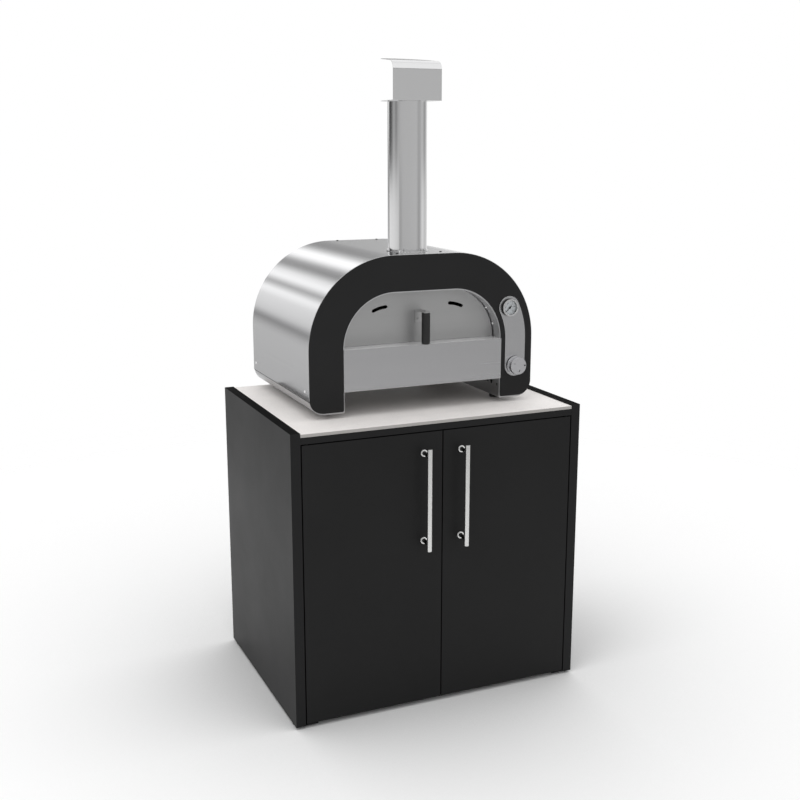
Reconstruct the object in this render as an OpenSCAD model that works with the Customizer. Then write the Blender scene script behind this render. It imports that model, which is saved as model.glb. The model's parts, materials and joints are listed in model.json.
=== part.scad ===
// Outdoor pizza oven table: a two-door cabinet with a slab worktop that carries a gas-fired pizza oven.
// The plan origin is the middle of the outer box. +X is to the right, +Y to the back and +Z up.
// The cabinet's glides stand on z = 0.

/* [Cabinet] */
// Overall width of the cabinet
cabinet_w = 950; // [860:10:1200]
// Depth of the cabinet from its front plane to its back plane
cabinet_d = 690; // [640:5:800]
// Height of the side panels without the glides
panel_h = 900; // [820:5:960]
// Thickness of a side panel
panel_t = 30; // [24:1:40]
// Thickness of the bottom panel and of the shelf
board_t = 18; // [15:1:22]
// Thickness of the back panel
back_t = 12; // [8:1:16]
// Height of the front and rear rails
rail_h = 20; // [16:1:30]
// Depth of the front and rear rails
rail_d = 60; // [50:1:90]
// Height of a glide between the floor and its side panel
glide_h = 8; // [6:1:14]
// Radius of a glide's foot
glide_r = 13; // [10:0.5:15]
// Distance from a glide's middle to the nearer end of its panel
glide_in = 40; // [30:1:80]

/* [Shelf and pass-through] */
// Height of the shelf's top above the bottom panel
shelf_up = 420; // [320:5:520]
// Distance between the shelf's front edge and the bottom panel's front edge
shelf_setback = 40; // [20:1:80]
// Radius of a shelf pin
shelf_pin_r = 2.5; // [2:0.25:4]
// Radius of the hose pass-through in the back panel
hose_hole_r = 30; // [25:1:45]
// Height of the pass-through's middle above the bottom panel
hose_hole_up = 190; // [120:5:240]
// Distance of the pass-through's middle from the right side panel
hose_hole_in = 90; // [70:5:140]

/* [Worktop] */
// Thickness of the slab
slab_t = 10; // [8:0.5:20]
// How far the slab's top lies below the top of the side panels
slab_drop = 3; // [1:0.5:6]

/* [Cabinet doors] */
// Thickness of a door
door_t = 19; // [16:0.5:24]
// Gap round each door
door_gap = 3.5; // [2.5:0.25:5]
// Radius of a pivot pin
pivot_r = 4; // [3:0.25:5]
// Thickness of the plate that carries the lower pivot pin
pivot_plate_t = 3; // [2:0.25:4]

/* [Bar handles] */
// Radius of a handle bar
bar_r = 7.75; // [5:0.25:10]
// Length of a handle bar
bar_l = 315; // [250:5:400]
// Distance between a handle's two posts
post_span = 272; // [200:2:300]
// Distance from the door's face to the bar's axis
bar_out = 41; // [30:1:60]
// Distance from the door's free edge to the bar's axis
bar_in = 60; // [40:1:90]
// Distance from the door's top edge to the bar's upper end
bar_drop = 41; // [30:1:100]
// Radius of a handle post
post_r = 6; // [4:0.25:7]
// Radius of the rosette at the foot of a post
rosette_r = 10.5; // [8:0.25:14]

/* [Oven body] */
// Overall width of the oven
oven_w = 743; // [720:2:800]
// Height of the oven's body without its feet
oven_h = 462; // [440:2:480]
// Depth of the oven's body
oven_d = 560; // [520:5:600]
// Height of the oven's straight sides, up to where its round corners begin
arch_h = 189; // [180:1:200]
// Outer radius of the oven's two lower corners
heel_r = 48; // [30:1:60]
// Width of the oven's front on each side of the mouth
side_w = 112; // [105:0.5:120]
// Height of the open space under the oven's floor, above the legs' underside
under_h = 65; // [50:1:80]
// Height of the baking deck above the legs' underside
deck_h = 190; // [175:1:200]
// Distance from the cabinet's front plane back to the oven's front plane
oven_inset = 131; // [90:1:150]
// Thickness of the outer shell's sheet
shell_t = 1.2; // [1:0.1:2]
// Thickness of the inner sheets
sheet_t = 1.5; // [1:0.1:2]
// Thickness of the front fascia
fascia_t = 3; // [2:0.25:4]
// Width of the bright rim that shows between the fascia and the mouth
rim_w = 3.25; // [3:0.25:6]
// Height of a rubber foot
foot_h = 15; // [12:1:25]
// Radius of a rubber foot
foot_r = 16; // [12:1:24]

/* [Chamber] */
// Thickness of a baking stone
stone_t = 30; // [20:1:35]
// Thickness of the insulation round the chamber
blanket_t = 60; // [40:1:70]
// Length of the chamber behind the mouth
chamber_l = 430; // [400:5:450]
// Radius of the burner tube
burner_r = 14; // [11:0.5:16]
// Length of the burner tube
burner_l = 330; // [260:5:340]

/* [Oven door] */
// Distance from the fascia's face back to the door's face
door_sink = 49; // [40:1:55]
// Thickness of the oven door
plate_t = 8; // [5:0.5:10]
// Play between the oven door and the mouth's walls
plate_play = 2.5; // [2.5:0.25:5]
// Radius of the grip
grip_r = 13; // [9:0.5:14]
// Distance from the oven door's face to the grip's axis
grip_out = 56; // [40:1:70]

/* [Controls] */
// Half the width of the control plate
control_r = 35; // [31:0.5:38]
// Thickness of the control plate
control_t = 2; // [1:0.25:3]
// Angle of the thermometer above the upper corner's centre, in degrees
gauge_angle = 27; // [15:1:40]
// Radius of the thermometer's case
gauge_r = 26.5; // [25:0.5:31]
// Depth of the thermometer's case in front of the control plate
gauge_d = 11; // [9:0.5:14]
// Radius of the gas knob
knob_r = 28.5; // [22:0.5:30]
// Depth of the gas knob
knob_d = 23; // [18:0.5:28]
// Distance the knob is pushed in to light the burner
knob_push = 3; // [2:0.25:4]
// Height of the knob's axis above the legs' underside
knob_up = 103; // [85:1:110]
// Radius of the valve's stem
stem_r = 4; // [3:0.25:5]
// Radius of the gas inlet's threaded end
inlet_r = 10.4; // [8:0.2:13]
// Length of the gas inlet's threaded end
inlet_l = 18; // [14:0.5:24]

/* [Flue] */
// Outer radius of the flue pipe
flue_r = 60; // [50:1:62]
// Thickness of the flue pipe's wall
flue_wall = 1; // [0.8:0.1:2]
// Length of the flue pipe
flue_l = 441; // [300:1:700]
// Distance from the fascia's face back to the flue's axis
flue_back = 131; // [122:1:160]
// Radius of the flange at the flue's foot
flange_r = 70; // [67:0.5:78]
// Width of the cap
cap_w = 157; // [150:1:200]
// Depth of the cap from its front plate to its round back
cap_d = 155; // [152:1:200]
// Height of the flat part of the cap's front plate
cap_h = 88; // [60:1:120]
// Radius of the bend between the cap's front and its top
cap_bend_r = 26; // [16:1:40]
// Slope of the cap's top, in degrees
cap_slope = 6; // [0:0.5:12]

/* [Hidden] */
$fn = 128;
// Clearance between pieces of one assembly that are pushed or screwed together
fit = 0.1;
// Radial clearance of a pin or shaft that turns
run = 0.05;
// Clearance between a moving piece and what it stands or closes on
rest_gap = 0.3;
// Overrun of a cut past the surface it leaves by
over = 1;
// Clearance of a swinging door's corner at its hinge
swing_clear = 0.6;

// Heights of the cabinet
panel_z0 = glide_h;
panel_z1 = panel_z0 + panel_h;
slab_z1 = panel_z1 - slab_drop;
slab_z0 = slab_z1 - slab_t;
rail_z0 = slab_z0 - rail_h;
floor_z0 = panel_z0 + pivot_plate_t;
floor_z1 = floor_z0 + board_t;
shelf_z1 = floor_z1 + shelf_up;
shelf_z0 = shelf_z1 - board_t;
door_z0 = floor_z0 + door_gap;
door_z1 = rail_z0 - door_gap;

// Depths: what stands furthest forward and furthest back sets the middle of the outer box
inlet_nut_t = 5;
reach_front = bar_out + bar_r;
reach_back = max(cabinet_d, oven_inset + oven_d + inlet_nut_t + inlet_l);
front_y = (reach_front - reach_back) / 2;
back_y = front_y + cabinet_d;
inner_x = cabinet_w / 2 - panel_t;
back_panel_in = 14;
back_panel_y = back_y - back_panel_in - back_t;

// Pivot hinges: the axis lies far enough in for the door's corner to swing clear of the side panel
half_t = door_t / 2;
corner_gap = door_gap - swing_clear;
pivot_in = (half_t * half_t - corner_gap * corner_gap) / (2 * corner_gap) + fit;
swing_r = sqrt(pivot_in * pivot_in + half_t * half_t);
pivot_x = inner_x - door_gap - pivot_in;
pivot_y = front_y + half_t;
inside_y = pivot_y + swing_r + swing_clear;
door_w = inner_x - door_gap - door_gap / 2;
bush_wall = 2.2;
bush_r = pivot_r + bush_wall;
bush_l = 14;
pin_l = 12;
bush_floor = bush_l - pin_l - rest_gap;
collar_r = bush_r;
pivot_plate_w = 40;
pivot_plate_d = 44;
pivot_plate_in = 4;

// Small pieces of the cabinet
bracket_t = 3;
bracket_l = 40;
bracket_w = 30;
shelf_pin_in = 12;
shelf_pin_out = 14;
shelf_pin_end = 50;
shelf_play = 1;
glide_stem_r = 4;
glide_stem_l = 20;
glide_toe = 1.5;
grommet_wall = 3;
grommet_lip = 5;
grommet_lip_t = 3;
catch_w = 46;
catch_d = 15;
catch_h = 22;
catch_in = 12;
magnet_w = 30;
magnet_h = 12;
magnet_d = 5;
strike_t = 1.5;
strike_w = 50;
strike_h = 14;
strike_drop = 1;

// Handle parts
bar_x = door_gap / 2 + bar_in;
bar_z1 = door_z1 - bar_drop;
bar_mid_z = bar_z1 - bar_l / 2;
bar_chamfer = 1;
post_up = post_span / 2;
post_zs = [bar_mid_z - post_up, bar_mid_z + post_up];
rosette_t = 3;
screw_r = 2.5;
screw_head_r = 4.75;
screw_head_h = 3;
screw_bite = 10;

// Oven: the plane of its face, its back, its underside and the centres of its upper corners
face_y = front_y + oven_inset;
oven_back_y = face_y + oven_d;
oven_z = slab_z1 + foot_h;
arch_r = oven_h - arch_h;
flat_half = oven_w / 2 - arch_r;
mouth_half = oven_w / 2 - side_w;
mouth_r = arch_r - side_w;
mouth_top = arch_h + mouth_r;
body_half = oven_w / 2 - shell_t - fit;
body_r = arch_r - shell_t - fit;
body_top = arch_h + body_r;
seam_h = 43;
lap_h = 84;
wall_h = 148;
shell_y = face_y + shell_t;
toe_r = 5;
fascia_low = 4.5;
liner_d = 58;
return_d = 60;
flange_w = 7;
leg_strip_w = 28;
liner_y0 = face_y + fascia_t + fit;
liner_y1 = face_y + fascia_t + liner_d;
foot_edge = 7.5;
foot_x = mouth_half + toe_r + foot_edge + foot_r;
foot_in = 87;
foot_chamfer = 2;
leg_hole_r = 4.75;
leg_hole_h = 40.5;
leg_hole_in = 20;
leg_slot_r = 8;
leg_slot_h = 46;
leg_slot_l = 8;
leg_slot_ins = [55, 79];

// Floor, stones and apron
tray_wall_h = 140;
tray_half = mouth_half - fit;
board_half = tray_half - sheet_t - fit;
apron_side = 0.6;
apron_half = mouth_half - apron_side;
apron_face_half = mouth_half + rim_w - apron_side / 2;
apron_proud = 1;
apron_y0 = face_y - apron_proud;
apron_lip = 14;
tray_y0 = apron_y0 + sheet_t + fit;
vault_t = 2;
foot_flange = 22;
chamber_y0 = liner_y1 + fit;
chamber_y1 = chamber_y0 + chamber_l;
back_sheet_y = oven_back_y - sheet_t;
rear_gap = 12;
stone_joint = 1;
stone_count = 2;

// Oven door
plate_y = face_y + door_sink;
plate_half = mouth_half - plate_play;
plate_r = mouth_r - plate_play;
plate_top = mouth_top - plate_play;
stop_y = plate_y + plate_t + rest_gap;
stop_w = 9;
vent_drop = 46.5;
vent_r = mouth_r - vent_drop;
vent_half = 5.1;
vent_angles = [65, 86];
strap_t = 2;
strap_w = 22;
strap_over = 14;
strap_screw_drops = [9, 28];
strap_flange_h = 38;
grip_share = 0.61;
grip_low = 1;
grip_up = grip_share * (mouth_top - deck_h);
grip_l = grip_up - grip_low;
grip_z1 = oven_z + deck_h + grip_up;
grip_chamfer = 2.5;
grip_y = plate_y - grip_out;
small_screw_r = 2;
small_head_r = 4;
small_head_h = 1.8;
small_bite = 6;

// Liner and shell screws: angles up the corner, heights on the walls, and distances along the depth
liner_screw_in = 43;
liner_screw_angles = [15.2, 35.5];
side_screw_h = 68;
side_screw_front = 38.6;
side_screw_back = 26.6;
side_screw_ins = [side_screw_front, oven_d - side_screw_back];
top_screw_front = 44;
top_screw_back = 12;
top_screw_ins = [top_screw_front, oven_d - top_screw_back];
top_screw_in = 27;
top_screw_x = flat_half - top_screw_in;

// Controls
band_in = 4.3;
band_r = (mouth_r + arch_r) / 2 - band_in;
plate_face_y = face_y - control_t;
gauge_x = flat_half + band_r * cos(gauge_angle);
gauge_h = arch_h + band_r * sin(gauge_angle);
gauge_y0 = plate_face_y - gauge_d;
gauge_wall = 2;
gauge_back = 2;
gauge_neck_r = 8;
gauge_lip = 2;
lens_t = 1.5;
lens_in = 1;
dial_t = 1;
needle_t = 0.8;
needle_hub_r = 3;
needle_pin_r = 1;
needle_clear = 0.4;
needle_l = 19;
needle_tail = 8;
needle_w = 3.6;
needle_tip_w = 1.6;
needle_rest = 225;
probe_r = 3;
probe_clear = 1;
probe_in = 80;
probe_bend = 12;
probe_reach = 30;
knob_x = flat_half + band_r;
knob_gap = knob_push + rest_gap + fit;
knob_y1 = plate_face_y - knob_gap;
knob_y0 = knob_y1 - knob_d;
knob_chamfer = 2;
knob_skirt = 3;
knob_bore_l = 15;
flute_count = 28;
flute_r = 2.2;
flute_bite = 0.9;
flat_cut = 1;
valve_neck_r = 9;
valve_w = 30;
valve_d = 44;
valve_y0 = face_y + fascia_t + fit;
valve_bore_l = 30;
pipe_r = 4;
supply_r = 5;
pipe_bite = 8;
pipe_bend = 16;
inlet_h = 38;
inlet_nut_r = 16;
inlet_neck_r = 9;
inlet_neck_l = 14;

// Burner
burner_side = 4;
burner_x = mouth_half - 2 * burner_r - burner_side;
burner_up = 6;
burner_wall = 1.5;
burner_in = 50;
burner_y0 = chamber_y0 + burner_in;
burner_y1 = burner_y0 + burner_l;
burner_h = deck_h + burner_up + burner_r;
burner_plug = 20;
saddle_l = 16;
saddle_in = 40;
port_r = 1.5;
port_count = 18;
port_lead = 30;
probe_plate_t = 2;
probe_plate_h = 46;
probe_plate_w = 36;
probe_plate_gap = 8;
probe_foot_l = 14;
rod_r = 2.5;
rod_l = 48;
rod_clear = 3;
rod_angles = [-60, -15];
port_angle = -60;

// Flue
flue_y = face_y + flue_back;
shell_top_z = oven_z + oven_h;
spigot_r = flue_r - flue_wall - fit;
spigot_t = 1;
spigot_up = 45;
flange_t = 1.5;
flange_screw_r = (flue_r + flange_r) / 2;
flange_screw_count = 4;
flange_head_r = 2.4;
flange_shank_r = 1.4;
pipe_z0 = shell_top_z + flange_t;
cap_z = pipe_z0 + flue_l;
cap_t = 1.2;
cap_lead = 73;
lid_t = 0.8;
lid_lap = 2;
cap_y0 = flue_y - cap_lead;
cap_spigot_l = 30;

panel_colour = [0.2, 0.2, 0.21];
black_colour = [0.12, 0.12, 0.12];
steel_colour = [0.75, 0.75, 0.76];
bright_colour = [0.85, 0.85, 0.86];
stone_colour = [0.85, 0.84, 0.82];
tile_colour = [0.8, 0.72, 0.6];
wool_colour = [0.9, 0.88, 0.8];
brass_colour = [0.8, 0.66, 0.35];
nylon_colour = [0.3, 0.3, 0.32];

// Shared building blocks

module at_both_sides() {
    children();
    mirror([1, 0, 0]) children();
}

// Extrudes an outline in X and height along +Y, between two depths
module along_y(y0, y1) {
    translate([0, y1, 0]) rotate([90, 0, 0]) linear_extrude(height = y1 - y0) children();
}

// A cylinder along +Y between two depths
module rod_y(r, y0, y1) {
    translate([0, y0, 0]) rotate([-90, 0, 0]) cylinder(r = r, h = y1 - y0);
}

// A quarter bend of a rod: it leaves the origin along +Y and ends along +X
module elbow(r, bend) {
    translate([bend, 0, 0]) rotate(90) rotate_extrude(angle = 90) translate([bend, 0]) circle(r = r);
}

// What lies outside a quarter circle, towards the signs given
module corner_cut(r, sx, sy) {
    side = r + over;
    difference() {
        translate([sx > 0 ? 0 : -side, sy > 0 ? 0 : -side]) square(side);
        circle(r = r);
    }
}

// An arched outline: straight walls, two quarter rounds and a flat top
module arch_outline(half, r, top, low) {
    difference() {
        translate([-half, low]) square([2 * half, top - low]);
        for (s = [-1, 1]) translate([s * (half - r), top - r]) corner_cut(r, s, 1);
    }
}

// An arched sheet that follows that outline on its inner side
module arch_band(half, r, top, low, t) {
    difference() {
        arch_outline(half, r, top, low);
        arch_outline(half - t, r - t, top - t, low - over);
    }
}

// A screw along +Z: its head stands above z = 0 and its shank goes down
module screw(r, head_r, head_h, l) {
    translate([0, 0, -l]) cylinder(r = r, h = l + fit);
    cylinder(r = head_r, h = head_h);
}

// Cabinet

module side_panel() {
    color(panel_colour) difference() {
        translate([inner_x, front_y, panel_z0]) cube([panel_t, cabinet_d, panel_h]);
        shelf_pin_places() translate([-shelf_pin_in - fit, 0, 0]) rotate([0, 90, 0])
            cylinder(r = shelf_pin_r + run, h = 2 * shelf_pin_in + 2 * fit);
        glide_places() cylinder(r = glide_stem_r + run, h = glide_stem_l + fit);
    }
}

module side_panel_left() mirror([1, 0, 0]) side_panel();
module side_panel_right() side_panel();

module shelf_pin_places() {
    y0 = inside_y + shelf_setback;
    for (y = [y0 + shelf_pin_end, back_panel_y - shelf_pin_end])
        translate([inner_x, y, shelf_z0 - fit - shelf_pin_r]) children();
}

module glide_places() {
    for (y = [front_y + glide_in, back_y - glide_in])
        translate([inner_x + panel_t / 2, y, panel_z0]) children();
}

module bottom_panel() {
    color(panel_colour) translate([-inner_x, inside_y, floor_z0])
        cube([2 * inner_x, back_panel_y - inside_y, board_t]);
}

module back_panel() {
    color(panel_colour) difference() {
        translate([-inner_x, back_panel_y, panel_z0]) cube([2 * inner_x, back_t, slab_z0 - panel_z0]);
        hose_place() rod_y(hose_hole_r + grommet_wall + fit, -over, back_t + over);
    }
}

module hose_place() {
    translate([inner_x - hose_hole_in, back_panel_y, floor_z1 + hose_hole_up]) children();
}

module hose_grommet() {
    color(nylon_colour) hose_place() difference() {
        union() {
            rod_y(hose_hole_r + grommet_wall, -grommet_lip_t, back_t + grommet_lip_t);
            rod_y(hose_hole_r + grommet_wall + grommet_lip, -grommet_lip_t, 0);
            rod_y(hose_hole_r + grommet_wall + grommet_lip, back_t, back_t + grommet_lip_t);
        }
        rod_y(hose_hole_r, -grommet_lip_t - over, back_t + grommet_lip_t + over);
    }
}

module front_rail() {
    color(panel_colour) difference() {
        translate([-inner_x, front_y, rail_z0]) cube([2 * inner_x, rail_d, rail_h]);
        at_both_sides() translate([pivot_x, pivot_y, rail_z0 - over])
            cylinder(r = pivot_r + run, h = pin_l + fit + over);
    }
}

module rear_rail() {
    color(panel_colour) translate([-inner_x, back_panel_y - rail_d, rail_z0])
        cube([2 * inner_x, rail_d, rail_h]);
}

// Angle brackets that join the rails to the side panels
module corner_brackets() {
    color(steel_colour) at_both_sides()
        for (y = [front_y + rail_d - bracket_w, back_panel_y - rail_d]) {
            translate([inner_x - bracket_l, y, rail_z0 - bracket_t]) cube([bracket_l, bracket_w, bracket_t]);
            translate([inner_x - bracket_t, y, rail_z0 - bracket_l]) cube([bracket_t, bracket_w, bracket_l]);
        }
}

module worktop() {
    color(stone_colour) translate([-inner_x + fit, front_y, slab_z0])
        cube([2 * (inner_x - fit), cabinet_d, slab_t]);
}

module shelf() {
    y0 = inside_y + shelf_setback;
    half = inner_x - shelf_play;
    color(panel_colour) translate([-half, y0, shelf_z0])
        cube([2 * half, back_panel_y - shelf_play - y0, board_t]);
}

module shelf_pins() {
    color(steel_colour) at_both_sides() shelf_pin_places()
        translate([-shelf_pin_out, 0, 0]) rotate([0, 90, 0])
            cylinder(r = shelf_pin_r, h = shelf_pin_out + shelf_pin_in);
}

module glides() {
    color(nylon_colour) at_both_sides() glide_places() {
        translate([0, 0, -glide_h]) cylinder(r1 = glide_r - glide_toe, r2 = glide_r, h = glide_toe);
        translate([0, 0, glide_toe - glide_h]) cylinder(r = glide_r, h = glide_h - glide_toe);
        cylinder(r = glide_stem_r, h = glide_stem_l);
    }
}

// Lower pivots: a plate under the bottom panel with a pin and the collar that carries the door
module pivot_plates() {
    color(steel_colour) at_both_sides() {
        translate([inner_x - pivot_plate_w, front_y + pivot_plate_in, panel_z0])
            cube([pivot_plate_w, inside_y + pivot_plate_d - front_y - pivot_plate_in, pivot_plate_t]);
        translate([pivot_x, pivot_y, panel_z0])
            cylinder(r = pivot_r, h = door_z0 - panel_z0 + pin_l);
        translate([pivot_x, pivot_y, panel_z0])
            cylinder(r = collar_r, h = door_z0 - rest_gap - panel_z0);
    }
}

module top_pivot_pins() {
    color(steel_colour) at_both_sides() translate([pivot_x, pivot_y, door_z1 - pin_l])
        cylinder(r = pivot_r, h = rail_z0 - door_z1 + 2 * pin_l);
}

module magnet_catches() {
    y0 = front_y + door_t + strike_t + rest_gap;
    color(nylon_colour) at_both_sides() difference() {
        translate([catch_in, y0, rail_z0 - catch_h]) cube([catch_w, catch_d, catch_h]);
        magnet_place() cube([magnet_w, magnet_d + over, magnet_h]);
    }
    color(steel_colour) at_both_sides() magnet_place()
        translate([fit, over, fit]) cube([magnet_w - 2 * fit, magnet_d - fit, magnet_h - 2 * fit]);
}

module magnet_place() {
    y0 = front_y + door_t + strike_t + rest_gap;
    translate([catch_in + (catch_w - magnet_w) / 2, y0 - over, rail_z0 - (catch_h + magnet_h) / 2])
        children();
}

// One door leaf, drawn on the right: round bores for the bushes and through holes for the handle's screws
module door_leaf() {
    color(panel_colour) difference() {
        translate([door_gap / 2, front_y, door_z0]) cube([door_w, door_t, door_z1 - door_z0]);
        translate([pivot_x, pivot_y, 0]) {
            translate([0, 0, door_z0 - over]) cylinder(r = bush_r + fit, h = bush_l + fit + over);
            translate([0, 0, door_z1 - bush_l - fit]) cylinder(r = bush_r + fit, h = bush_l + fit + over);
        }
        for (z = post_zs) translate([bar_x, front_y, z]) rod_y(screw_r + fit, -over, door_t + over);
    }
}

module door_bushes() {
    color(nylon_colour) translate([pivot_x, pivot_y, 0]) {
        translate([0, 0, door_z0]) bush();
        translate([0, 0, door_z1]) mirror([0, 0, 1]) bush();
    }
}

module bush() {
    difference() {
        cylinder(r = bush_r, h = bush_l);
        translate([0, 0, -over]) cylinder(r = pivot_r + run, h = bush_l - bush_floor + over);
    }
}

module handle_bar() {
    color(bright_colour) difference() {
        translate([bar_x, front_y - bar_out, bar_z1 - bar_l]) {
            translate([0, 0, bar_chamfer]) cylinder(r = bar_r, h = bar_l - 2 * bar_chamfer);
            cylinder(r1 = bar_r - bar_chamfer, r2 = bar_r, h = bar_chamfer);
            translate([0, 0, bar_l - bar_chamfer])
                cylinder(r1 = bar_r, r2 = bar_r - bar_chamfer, h = bar_chamfer);
        }
        for (z = post_zs) translate([bar_x, front_y - bar_out, z]) rod_y(post_r + fit, 0, bar_r + over);
    }
}

module handle_posts() {
    color(bright_colour) for (z = post_zs) translate([bar_x, front_y, z]) difference() {
        union() {
            rod_y(post_r, fit - bar_out, 0);
            rod_y(rosette_r, -rosette_t, 0);
        }
        rod_y(screw_r + run, -screw_bite - fit, over);
    }
}

module handle_screws() {
    color(steel_colour) for (z = post_zs) translate([bar_x, front_y + door_t, z])
        rotate([-90, 0, 0]) screw(screw_r, screw_head_r, screw_head_h, door_t + screw_bite);
}

module strike_plate() {
    x0 = catch_in + (catch_w - strike_w) / 2;
    color(steel_colour) translate([x0, front_y + door_t, door_z1 - strike_drop - strike_h])
        cube([strike_w, strike_t, strike_h]);
}

module door_left() mirror([1, 0, 0]) door_leaf();
module bushes_left() mirror([1, 0, 0]) door_bushes();
module bar_left() mirror([1, 0, 0]) handle_bar();
module posts_left() mirror([1, 0, 0]) handle_posts();
module handle_screws_left() mirror([1, 0, 0]) handle_screws();
module strike_left() mirror([1, 0, 0]) strike_plate();
module door_right() door_leaf();
module bushes_right() door_bushes();
module bar_right() handle_bar();
module posts_right() handle_posts();
module handle_screws_right() handle_screws();
module strike_right() strike_plate();

// Oven body. Its outlines are drawn in X and height above the legs' underside.

module oven_feet() {
    color(black_colour) at_both_sides() foot_places() {
        cylinder(r1 = foot_r, r2 = foot_r - foot_chamfer, h = foot_h - fit);
    }
}

module foot_places() {
    for (y = [face_y + foot_in, oven_back_y - foot_in]) translate([foot_x, y, slab_z1]) children();
}

// Outline of one leg, drawn in from its outer side by the given amount and open above
module leg_outline(inset, top) {
    x0 = mouth_half + inset;
    x1 = body_half - inset;
    difference() {
        translate([x0, inset]) square([x1 - x0, top - inset]);
        translate([body_half - heel_r, heel_r]) corner_cut(heel_r - inset, 1, -1);
        translate([mouth_half + toe_r, toe_r]) corner_cut(toe_r - inset, -1, -1);
    }
}

// One leg: a folded channel whose front end is closed by a flange behind the fascia
module leg_channel() {
    mid = (mouth_half + body_half) / 2;
    translate([0, 0, oven_z]) difference() {
        union() {
            along_y(liner_y0 + sheet_t, back_sheet_y - fit) difference() {
                leg_outline(0, wall_h);
                leg_outline(sheet_t, wall_h + over);
                translate([mid, lap_h]) square([body_half, wall_h]);
            }
            along_y(liner_y0, liner_y0 + sheet_t) difference() {
                leg_outline(0, wall_h);
                translate([mouth_half + leg_strip_w, lap_h]) square([body_half, wall_h]);
            }
        }
        side_screw_places() translate([0, 0, -small_bite - fit])
            cylinder(r = small_screw_r + run, h = 2 * small_bite);
    }
}

// Places of the screws in the shell's side walls, each with +Z outwards
module side_screw_places() {
    for (d = side_screw_ins) translate([oven_w / 2, face_y + d, side_screw_h]) rotate([0, 90, 0]) children();
}

module leg_left() color(steel_colour) mirror([1, 0, 0]) leg_channel();

module leg_right() {
    color(steel_colour) difference() {
        leg_channel();
        translate([mouth_half - over, face_y + leg_hole_in, oven_z + leg_hole_h]) rotate([0, 90, 0])
            cylinder(r = leg_hole_r, h = sheet_t + 2 * over);
        for (d = leg_slot_ins) translate([mouth_half - over, face_y + d, oven_z + leg_slot_h]) {
            rotate([0, 90, 0]) cylinder(r = leg_slot_r, h = sheet_t + 2 * over);
            translate([0, -leg_slot_r, 0]) cube([sheet_t + 2 * over, 2 * leg_slot_r, leg_slot_l]);
        }
    }
}

module floor_tray() {
    color(steel_colour) translate([0, 0, oven_z + under_h]) difference() {
        translate([-tray_half, tray_y0, 0])
            cube([2 * tray_half, back_sheet_y - fit - tray_y0, tray_wall_h - under_h]);
        translate([-tray_half + sheet_t, tray_y0 + sheet_t, sheet_t])
            cube([2 * (tray_half - sheet_t), back_sheet_y - fit - tray_y0 - 2 * sheet_t, tray_wall_h]);
    }
}

module shell() {
    color(steel_colour) difference() {
        translate([0, 0, oven_z]) along_y(shell_y, oven_back_y)
            arch_band(oven_w / 2, arch_r, oven_h, seam_h, shell_t);
        translate([0, flue_y, oven_z + mouth_top])
            cylinder(r = spigot_r + fit, h = oven_h - mouth_top + over);
        at_both_sides() translate([0, 0, oven_z]) side_screw_places() translate([0, 0, -small_bite])
            cylinder(r = small_screw_r + run, h = 2 * small_bite);
        top_screw_places() translate([0, 0, -small_bite])
            cylinder(r = small_screw_r + run, h = 2 * small_bite);
    }
}

module top_screw_places() {
    for (s = [-1, 1], d = top_screw_ins)
        translate([s * top_screw_x, face_y + d, shell_top_z]) children();
}

// Flange that runs back or forward from an end sheet, inside the shell and above the legs
module shell_flange(y0, y1) {
    difference() {
        translate([0, 0, oven_z]) along_y(y0, y1)
            arch_band(body_half, body_r, body_top, lap_h + fit, sheet_t);
        top_screw_places() translate([0, 0, -small_bite - fit])
            cylinder(r = small_screw_r + run, h = 2 * small_bite);
    }
}

module fascia_outline() {
    inner = mouth_half + rim_w;
    corner_r = heel_r - fascia_low;
    difference() {
        arch_outline(body_half, body_r, body_top, fascia_low);
        arch_outline(inner, mouth_r + rim_w, mouth_top + rim_w, fascia_low - over);
        for (s = [-1, 1]) {
            translate([s * (body_half - corner_r), fascia_low + corner_r]) corner_cut(corner_r, s, -1);
            translate([s * (inner + toe_r), fascia_low + toe_r]) corner_cut(toe_r, -s, -1);
        }
    }
}

module fascia() {
    color(black_colour) {
        difference() {
            translate([0, 0, oven_z]) along_y(face_y, face_y + fascia_t) fascia_outline();
            translate([gauge_x, 0, oven_z + gauge_h])
                rod_y(gauge_neck_r + fit, face_y - over, face_y + fascia_t + over);
            translate([knob_x, 0, oven_z + knob_up])
                rod_y(valve_neck_r + fit, face_y - over, face_y + fascia_t + over);
        }
        shell_flange(face_y + fascia_t, face_y + return_d);
    }
}

// Bright lining of the mouth, with a rim in front, a stop for the door behind and four screws
module mouth_liner() {
    color(steel_colour) translate([0, 0, oven_z]) difference() {
        union() {
            along_y(liner_y0, liner_y1)
                arch_band(mouth_half + sheet_t, mouth_r + sheet_t, mouth_top + sheet_t,
                    wall_h + fit, sheet_t);
            along_y(liner_y0, liner_y0 + sheet_t)
                arch_band(mouth_half + flange_w, mouth_r + flange_w, mouth_top + flange_w,
                    wall_h + fit, flange_w);
            along_y(stop_y, stop_y + sheet_t)
                arch_band(mouth_half + fit, mouth_r + fit, mouth_top + fit, deck_h + fit, stop_w);
        }
        at_both_sides() liner_screw_places() translate([0, 0, -small_bite])
            cylinder(r = small_screw_r + run, h = 2 * small_bite);
    }
}

// Places of the liner's screws, each with +Z into the mouth
module liner_screw_places() {
    for (a = liner_screw_angles)
        translate([flat_half, face_y + liner_screw_in, arch_h]) rotate([0, -a, 0])
            translate([mouth_r - fit, 0, 0]) rotate([0, -90, 0]) children();
}

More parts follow.
